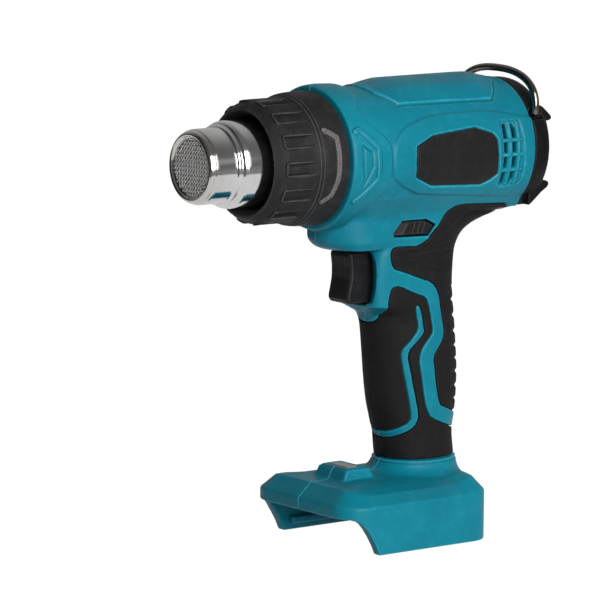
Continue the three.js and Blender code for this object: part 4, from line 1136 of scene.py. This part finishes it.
def build_screen():
    """The woven wire screen in the mouth of the nozzle."""
    outer, pitch, wire_radius, screen_y = 13.25, 1.42, 0.31, -62.6
    cosine, sine = math.cos(47 * DEGREE), math.sin(47 * DEGREE)
    count = int(outer / pitch)
    rng = np.random.default_rng(7)
    parts, offset = [], 0
    for family in (0, 1):
        for i in range(-count, count + 1):
            off = i * pitch + rng.normal(0, 0.05)
            if abs(off) > outer - 0.6:
                continue
            half = math.sqrt(outer * outer - off * off)
            t = np.linspace(-half, half, max(6, int(2 * half / (pitch / 4))))
            sign = (1 if i % 2 else -1) * (1 if family else -1)
            y = (screen_y + sign * wire_radius * np.cos(math.pi * t / pitch)
                 + rng.normal(0, 0.03) + 0.3 * (1 - (t**2 + off * off) / outer**2))
            if family == 0:
                x, z = t * cosine - off * sine, t * sine + off * cosine
            else:
                x, z = t * sine + off * cosine, -t * cosine + off * sine
            points, tris, quads = tube_mesh(np.stack([x, y, AXIS_Z + z], 1), wire_radius, 6)
            parts.append((points, tris + offset, quads + offset))
            offset += len(points)
    points, tris, quads = (np.concatenate(part) for part in zip(*parts))
    add_piece("outlet_screen", "outlet_mesh", "mesh_wire", points, [tris, quads],
              {"edge": np.zeros(len(points))})


# Side outlines of the cap's lugs, (Y, Z): by the hanging ring, and the feet it lies on.
CAP_LUGS = [
    [(121, 203.2), (124.5, 202.8), (126.2, 202.0), (131.2, 197.6), (131.55, 196.2),
     (130.4, 195.2), (127, 195.0), (121, 195)],
    [(118, 155.0), (121.5, 157.6), (126, 161.2), (129.4, 163.2), (130.6, 164.8),
     (130.0, 166.1), (128.6, 166.7), (118, 167)],
]


def build_cap(body_grid, body):
    """Rear cap: the body's own section, drawn in towards the rear."""
    grid = Grid((-33.5, 113.6, AXIS_Z - 37), (33.5, 132.6, AXIS_Z + 34))
    x, y, z = grid.axes
    x_line, y_line, z_line = grid.lines
    section = body[:, int(round((112.6 - body_grid.lo[1]) / body_grid.step)), :]
    at_x = np.clip((np.abs(x_line) - body_grid.lo[0]) / body_grid.step, 0,
                   section.shape[0] - 1.001)
    at_z = np.clip((z_line - body_grid.lo[2]) / body_grid.step, 0, section.shape[1] - 1.001)
    i, j = at_x.astype(int), at_z.astype(int)
    wx, wz = (at_x - i)[:, None], (at_z - j)[None, :]
    section = (section[np.ix_(i, j)] * (1 - wx) * (1 - wz)
               + section[np.ix_(i + 1, j)] * wx * (1 - wz)
               + section[np.ix_(i, j + 1)] * (1 - wx) * wz
               + section[np.ix_(i + 1, j + 1)] * wx * wz).astype(np.float32)
    # how far the outline is drawn in, by Y, for the round part and the part below it
    ys = y_line.astype(float)
    low = ease((166.0 - z) / 10.0)
    drop = pchip([113, 120, 122, 124, 125.2, 126.4, 127.4, 128.2, 130, 133],
                 [0.55, 0.6, 0.9, 1.5, 2.3, 3.7, 5.6, 8.5, 16, 30], ys)[None, :, None]
    drop_low = pchip([113, 118, 121.5, 124, 126, 127.4, 128.4, 131, 133],
                     [0.3, 0.4, 0.9, 2.0, 3.8, 6.0, 9.5, 20, 30], ys)[None, :, None]
    cap = (section[:, None, :] + (drop * (1 - low) + drop_low * low)).astype(np.float32)
    radius = barrel_radius(grid)
    cap = smax(cap, radius - 34.8, 0.5)
    cap = smax(cap, y - 128.2, 1.2)
    cap = smax(cap, 115.35 - y, 0.6)
    side = np.abs(x)
    for outline in CAP_LUGS:
        lug = smax(poly(outline, y, z, 0.6), slab(side, 21.5, 3.0), 0.7)
        cap = smin(cap, lug, 0.5)
    inner = turned_field(grid, [(100, 0), (100, 28.9), (122, 28.9), (126.0, 25.6), (126.0, 0)])
    cap = cut(cap, inner, 0.5)
    # ears that hold the hanging ring: notched outside and bored along X
    ear = box((side, y, z), (23.4, 119.2, 198.2), (2.5, 3.4, 4.2), 0.6, 0.6)
    cap = smin(cap, ear, 0.5)
    notch = smax(smax(25.9 - side, slab(z, 201.0, 4.1), 0.4), slab(y, 118.4, 4.4), 0.8)
    cap = cut(cap, notch, 0.6)
    bore = np.maximum(np.sqrt((y - 118) ** 2 + (z - 199.5) ** 2) - 2.05, 23.2 - side)
    cap = cut(cap, bore, 0.3)
    # intake slots in the rear face, shorter towards the sides
    pitch = 5.2
    for i in range(-3, 4):
        height = math.sqrt(max(21 * 21 - (i * pitch) ** 2, 1))
        slot = smax(slab(x, i * pitch, 1.3),
                    slab(np.abs(z - AXIS_Z), height * 0.42, height * 0.36), 1.2)
        cap = cut(cap, np.maximum(slot, 124.6 - y), 0.5)
    # shallow ring round the grille
    cap = cut(cap, np.hypot(radius - 22.6, y - 128.3) - 0.45, 0.4)
    field_piece("rear_cap_shell", "rear_cap", "black_plastic", cap, grid)


def build_badges():
    """Slightly crowned plates with a fine line inside the rim."""
    grid = Grid((9.0, 40.4, 163.6), (35.0, 94.6, 200.6))
    x, y, z = grid.axes
    radius = barrel_radius(grid)
    outline = poly(arc(BADGE), y, np.arctan2(x, z - AXIS_Z) * RELIEF_RADIUS, 0.9)
    crown = 33.25 + 0.12 * ease((-outline) / 2.0)
    plate = smax(smax(radius - crown, 31.75 - radius, 0.2), outline, 0.7)
    plate = cut(plate, np.maximum(np.abs(-outline - 1.3) - 0.16, 33.16 - radius), 0.2)
    for hand in ("left", "right"):
        field_piece("badge_plate_" + hand, "badge_" + hand, "badge_plate", plate, grid,
                    mirror=hand == "right")


TRIGGER_FACE = [(22.9, 113.9), (21.7, 115.6), (21.8, 117.5), (22.6, 121), (23.5, 125.5),
                (23.5, 131), (22.8, 136)]  # (Y, Z) up the front


def build_trigger():
    grid = Grid((-9.2, 20.0, 111.8), (9.2, 40.0, 139.2), step=0.25, quick_step=0.45)
    x, y, z = grid.axes
    outline = [(23.0, 137.8)] + TRIGGER_FACE[::-1] + [(25.5, 113.4), (38.3, 113.4),
                                                      (38.3, 137.8)]
    bulge = 0.35 * (x / 7.7) ** 2
    lever = smax(poly(outline, y - bulge, z, 1.3, 5), np.abs(x) - 7.55, 1.5)
    # slim bead along each flank behind the front edge, and a shallow dish for the finger
    face_y, face_z = zip(*TRIGGER_FACE, (23.0, 138))
    face = np.interp(z, face_z, face_y)
    bead = np.hypot(np.abs(x) - 7.1, y - face - 1.75) - 0.72
    lever = smin(lever, smax(bead, slab(z, 125.9, 11.4), 0.8), 0.45)
    dish = np.hypot(np.maximum(np.abs(x) - 3.6, 0), y - face + 0.25)
    lever = cut(lever, dish - 0.6 + 0.05 * np.abs(z - 125.0), 1.0)
    field_piece("trigger_lever", "trigger", "trigger_plastic", lever, grid,
                body="trigger_body")


def build_lock():
    """Six-sided bar through the housing, faceted and grooved on its +X end."""
    outline = [(40.6, 146.9), (45.7, 152.1), (59.5, 152.0), (64.9, 149.3), (61.2, 145.2),
               (41.5, 145.8)]
    grid = Grid((-23.6, 37.6, 142.6), (19.4, 67.0, 154.6), step=0.3, quick_step=0.5)
    x, y, z = grid.axes
    lock = smax(poly(outline, y, z, 0.8), np.maximum(x - 18.25, -22.6 - x), 0.9)
    facet = 0.8 * (x - 17.9) - 0.5 * (y - 47.6) + 0.33 * (z - 149.0)
    lock = smax(lock, facet * 0.95, 0.5)
    for i in range(3):
        lean = (y - 52.5 - i * 3.0) * 0.95 - (z - 149) * 0.35
        lock = cut(lock, np.hypot(x - 18.35, lean) - 0.38, 0.2)
    field_piece("lock_button", "lock_bar", "trigger_plastic", lock, grid, body="lock")


def build_window():
    """Charge window with four round dimples."""
    grid = Grid((-7.6, 22.6, 30.4), (7.6, 31.0, 37.0), step=0.2, quick_step=0.3)
    x, y, z = grid.axes
    window = box(grid.axes, (0, WINDOW_Y, 34.9), (6.45, 3.05, 1.5), 0.9, 0.5)
    for i in range(4):
        dimple = np.hypot(x - (-3.9 + i * 2.6), y - WINDOW_Y) - 0.62
        window = cut(window, np.maximum(dimple, 36.05 - z), 0.15)
    base = box(grid.axes, (0, WINDOW_Y, 32.6), (5.5, 2.4, 1.1), 0.4, 0.3)
    window = smin(window, base, 0.3)
    field_piece("charge_window", "indicator_window", "window_grey", window, grid)


def build_screws():
    """Domed cross-head screws; one mesh, moved to each place."""
    grid = Grid((-12.2, -3.4, -3.4), (9.0, 3.4, 3.4), step=0.16, quick_step=0.25)
    x, y, z = grid.axes
    radius = np.sqrt(y**2 + z**2)
    head = smax(np.hypot(x + 7.2, radius) - 4.85, smax(radius - 2.75, x + 9.25, 0.2), 0.3)
    thread = np.abs(((x + 0.09 * np.arctan2(z, y)) / 0.9) % 1.0 - 0.5)
    shank = smax(radius - 1.32 - 0.16 * thread, np.maximum(-9.6 - x, x - 8.3), 0.2)
    width, reach = 0.42, 1.55
    cross = np.minimum(np.maximum(np.abs(y) - width, np.abs(z) - reach),
                       np.maximum(np.abs(z) - width, np.abs(y) - reach))
    screw = cut(smin(head, shank, 0.3), smax(cross, x + 10.5, 0.3), 0.2)
    points, faces, normals, edge = surface(screw, grid)
    for name, (y, z) in SCREWS.items():
        add_piece("fastener_" + name, "screw_" + name, "screw_steel", points + [0, y, z],
                  faces, {"edge": edge}, normals)


# Contact blades: kind, X, front Y, rear Y, Z of the lower edge.
BLADES = [("positive", -9.4, 37.0, 55.0, 9.4), ("negative", 9.4, 37.0, 55.0, 9.4),
          ("sense", 0.0, 41.0, 51.0, 10.4)]


def build_terminals():
    grid = Grid((-14.4, 29.0, 11.4), (14.4, 71.0, 23.8), step=0.36, quick_step=0.5)
    x, y, z = grid.axes
    carrier = box(grid.axes, (0, 50.0, 15.8), (13.5, 20.0, 3.4), 1.0, 0.6)
    upper = box(grid.axes, (0, 59.0, 21.1), (8.4, 6.4, 2.1), 0.6, 0.3)
    carrier = smin(carrier, upper, 0.3)
    for _, middle, front, rear, _ in BLADES:
        # a slot round the blade, and a groove on each side of it
        slot = overlap(front - 1 - y, y - (rear + 1), z - 16.4)
        carrier = cut(carrier, smax(slab(x, middle, 0.85), slot, 0.3), 0.35)
        groove = overlap(front - y, y - rear, z - 13.3)
        beside = slab(np.abs(x - middle), 2.2, 0.45)
        carrier = cut(carrier, smax(beside, groove, 0.2), 0.25)
    for at in (33.0, 67.0):
        notch = smax(np.abs(x) - 9.5, np.maximum(slab(y, at, 1.2), z - 13.6), 0.4)
        carrier = cut(carrier, notch, 0.3)
    field_piece("terminal_carrier", "terminal_block", "switch_plastic", carrier, grid)
    for kind, middle, front, rear, bottom in BLADES:
        grid = Grid((middle - 0.9, front - 0.8, bottom - 0.8),
                    (middle + 0.9, rear + 0.8, 16.9), step=0.16, quick_step=0.25)
        x, y, z = grid.axes
        outline = [(front, bottom + 1.6), (front + 1.6, bottom), (rear - 0.8, bottom),
                   (rear, bottom + 0.8), (rear, 16), (front, 16)]
        thickness = slab(x, middle, 0.4) + 0.25 * ease((bottom + 1.4 - z) / 1.4)
        blade = smax(poly(outline, y, z, 0.5), thickness, 0.3)
        scores = overlap(slab(np.abs(x - middle), 0.45, 0.09),
                         np.abs(z - bottom - 3.2) - 0.25, slab(y, (front + rear) / 2, 5.0))
        blade = cut(blade, scores, 0.1)
        field_piece("contact_" + kind, "terminal_blade_" + kind, "terminal_brass", blade, grid)


def build_hanging_ring():
    """One bent wire, both ends turned in to the ears."""
    end = smooth_path([(-23.6, 118, 199.5), (-26.0, 118, 199.5), (-27.3, 118, 199.8),
                       (-28.05, 118, 200.8)], 6).tolist()
    arch = []
    for t in (0.5 - 0.5 * np.cos(np.linspace(0, math.pi, 65))) * math.pi:
        x = -28.25 * math.copysign(abs(math.cos(t)) ** 0.833, math.cos(t))
        arch.append((x, 118, 203.0 + 16.2 * math.sin(t) ** 0.833))
    other_end = [[-x, y, z] for x, y, z in end[::-1]]
    wire("ring_loop", "hanging_ring", "ring_wire", end + arch + other_end, 1.78, 28,
         body="ring")


def build_coils():
    """Heater winding and trigger spring: helices along Y."""
    turns, radius = 7, 15.9
    t = np.linspace(0, 1, turns * 40 + 1)
    angle = t * (2 * turns) * math.pi
    path = np.stack([radius * np.cos(angle), -40 + 38 * t, AXIS_Z + radius * np.sin(angle)], 1)
    wire("heater_winding", "heater_coil", "coil_wire", path, 0.5, 8)
    turns, radius = 4, 3.2
    t = np.linspace(0, 1, turns * 28 + 1)
    angle = t * (2 * turns) * math.pi
    path = np.stack([radius * np.cos(angle), 39.3 + 6.4 * t, 125 + radius * np.sin(angle)], 1)
    spring = wire("return_spring", "trigger_spring", "shaft_steel", path, 0.4, 10)
    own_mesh(spring)


SUPPLY_PATH = [(5, 58, 23.8), (5, 59, 36), (5.5, 58.5, 60), (5.5, 57, 90), (4, 57.5, 104),
               (4, 57.5, 112.5)]
HEATER_PATH = [(5, 50, 137.1), (5, 47, 142.2), (4, 36, 145.4), (4, 28.5, 150.2),
               (4, 19, 155.2), (5.5, 11.8, 163.2)]
LEADS = [  # name, frame node, slot, radius, path
    ("supply_lead_positive", "battery_lead_positive", "lead_red", 1.1,
     [(-x, y, z) for x, y, z in SUPPLY_PATH]),
    ("supply_lead_negative", "battery_lead_negative", "lead_black", 1.1, SUPPLY_PATH),
    ("heater_supply_lead", "heater_lead", "lead_white", 1.0, HEATER_PATH),
]

build_cap_from = build_body()
build_guard()
lathe("nozzle_pipe", "nozzle_tube", "chrome_tube", NOZZLE_PROFILE, segments=200, radius=0.4,
      steps=5)
lathe("outlet_seat", "outlet_ring", "dark_steel", SEAT_PROFILE, segments=120, radius=0.2)
build_screen()
build_cap(*build_cap_from)
build_badges()
build_trigger()
build_lock()
build_window()
build_screws()
build_terminals()
build_hanging_ring()
build_coils()
for name, node, slot, radius, path in LEADS:
    wire(name, node, slot, smooth_path(path, 10), radius, 14)


# ---- stage, in metres ---------------------------------------------------------------------
def add_camera():
    """Long lens from the front left, slightly above."""
    azimuth, elevation, roll = 52.411 * DEGREE, 8.551 * DEGREE, 0.402 * DEGREE
    target = Vector((0.0, -MIDDLE_Y, 117.006)) * 0.001
    distance = 2.1099
    back = Vector((math.sin(azimuth) * math.cos(elevation),
                   -math.cos(azimuth) * math.cos(elevation), math.sin(elevation)))
    level = Vector((math.cos(azimuth), math.sin(azimuth), 0.0))
    up = back.cross(level)
    right = level * math.cos(roll) + up * math.sin(roll)
    rolled_up = -level * math.sin(roll) + up * math.cos(roll)
    camera = bpy.data.objects.new("camera", bpy.data.cameras.new("camera"))
    bpy.context.scene.collection.objects.link(camera)
    camera.data.sensor_width = 36.0
    camera.data.lens = 272.1732
    camera.matrix_world = Matrix((right, rolled_up, back)).transposed().to_4x4()
    camera.location = target + back * distance
    camera.data.clip_start = 0.05
    camera.data.clip_end = 50.0
    bpy.context.scene.camera = camera


def floor_material():
    """A floor that reads as white but throws only part of that light back up."""
    material = bpy.data.materials.new("floor")
    k = Tree(material)
    noise = k.add("TexNoise", {"Scale": 2.0}).outputs["Fac"]
    shade = k.ramp(noise, over=(0.0, 1.0), to=(0.10, 0.12))
    diffuse = k.add("BsdfDiffuse", {"Color": shade}).outputs[0]
    # seen in polished metal, the lit table ends half a metre out and is dim beyond,
    # dimmest towards -X and -Y
    position = k.add("NewGeometry").outputs["Position"]
    reach = k.add("VectorMath", {0: position}, operation="LENGTH").outputs["Value"]
    along = k.add("VectorMath", {0: position, 1: (0.78, 0.62, 0.0)},
                  operation="DOT_PRODUCT").outputs["Value"]
    far = k.ramp(along, over=(-0.3, 0.7), to=(0.02, 0.17))
    beyond = k.ramp(reach, over=(0.53, 0.56))
    near_glow, bounce_glow, seen_glow = 0.72, 0.24, 0.76
    table = k.add("Mix", {0: beyond, 2: near_glow, 3: far}).outputs[0]
    ray = k.add("LightPath").outputs
    glow = k.add("Mix", {0: ray["Is Glossy Ray"], 2: bounce_glow, 3: table}).outputs[0]
    strength = k.math("MULTIPLY_ADD", ray["Is Camera Ray"], seen_glow, glow)
    emission = k.add("Emission", {"Strength": strength}).outputs[0]
    both = k.add("AddShader", {0: diffuse, 1: emission}).outputs[0]
    k.add("OutputMaterial", {"Surface": both})
    return material


def add_floor():
    bpy.ops.mesh.primitive_plane_add(size=14.0, location=(0, 0, 0))
    floor = bpy.context.object
    floor.name = "floor"
    floor.data.materials.append(floor_material())


def add_key_light():
    place, aim = Vector((1.50, -0.38, 0.60)), Vector((0, -0.02, 0.12))
    light = bpy.data.lights.new("key", "AREA")
    light.shape = "RECTANGLE"
    light.size = 0.8
    light.size_y = 1.1
    light.energy = 26.0
    lamp = bpy.data.objects.new("key", light)
    bpy.context.scene.collection.objects.link(lamp)
    lamp.location = place
    lamp.rotation_euler = (aim - place).to_track_quat("-Z", "Y").to_euler()


# Patches of the world's light: direction, outer and inner half angle in degrees, strength.
WORLD_PATCHES = [
    ((0.0, 0.0, 1.0), 180.0, 176.0, 0.15),  # even light from all round
    ((-0.6, -0.8, 0.05), 80.0, 40.0, -0.13),  # darker towards -X and -Y
    ((-0.78, 0.60, 0.25), 85.0, 10.0, 0.30),  # broad glow from behind, on the right
    ((0.93, 0.22, 0.30), 24.0, 18.0, 0.9),  # small bright patch on the left
]


def add_world():
    """White to the camera; soft patches of light to everything else."""
    world = bpy.data.worlds.new("world")
    bpy.context.scene.world = world
    k = Tree(world)
    white = (1, 1, 1, 1)
    direction_in = k.add("TexCoord").outputs["Generated"]
    total = None
    for direction, outer, inner, strength in WORLD_PATCHES:
        dot = k.add("VectorMath", {0: direction_in, 1: Vector(direction).normalized()},
                    operation="DOT_PRODUCT").outputs["Value"]
        patch = k.add("MapRange", {
            "Value": dot, "From Min": math.cos(outer * DEGREE),
            "From Max": math.cos(inner * DEGREE), "To Min": 0.0, "To Max": strength,
        }, interpolation_type="SMOOTHSTEP").outputs["Result"]
        if total is None:
            total = patch
        else:
            total = k.add("Math", {0: total, 1: patch}, operation="ADD").outputs[0]
    lighting = k.add("Background", {"Color": white, "Strength": total}).outputs[0]
    backdrop = k.add("Background", {"Color": white, "Strength": 1.05}).outputs[0]
    seen = k.add("LightPath").outputs["Is Camera Ray"]
    mixed = k.add("MixShader", {0: seen, 1: lighting, 2: backdrop}).outputs[0]
    k.add("OutputWorld", {"Surface": mixed})


add_camera()
add_floor()
add_key_light()
add_world()
bpy.context.scene.view_settings.view_transform = "Standard"

# finishes of the frame's own pieces
for node, piece in frame["nodes"].items():
    slot = next(part["material_slot"] for part in frame["record"]["subparts"]
                if part["node"] == node)
    piece.data.materials.clear()
    piece.data.materials.append(MATERIALS[slot])
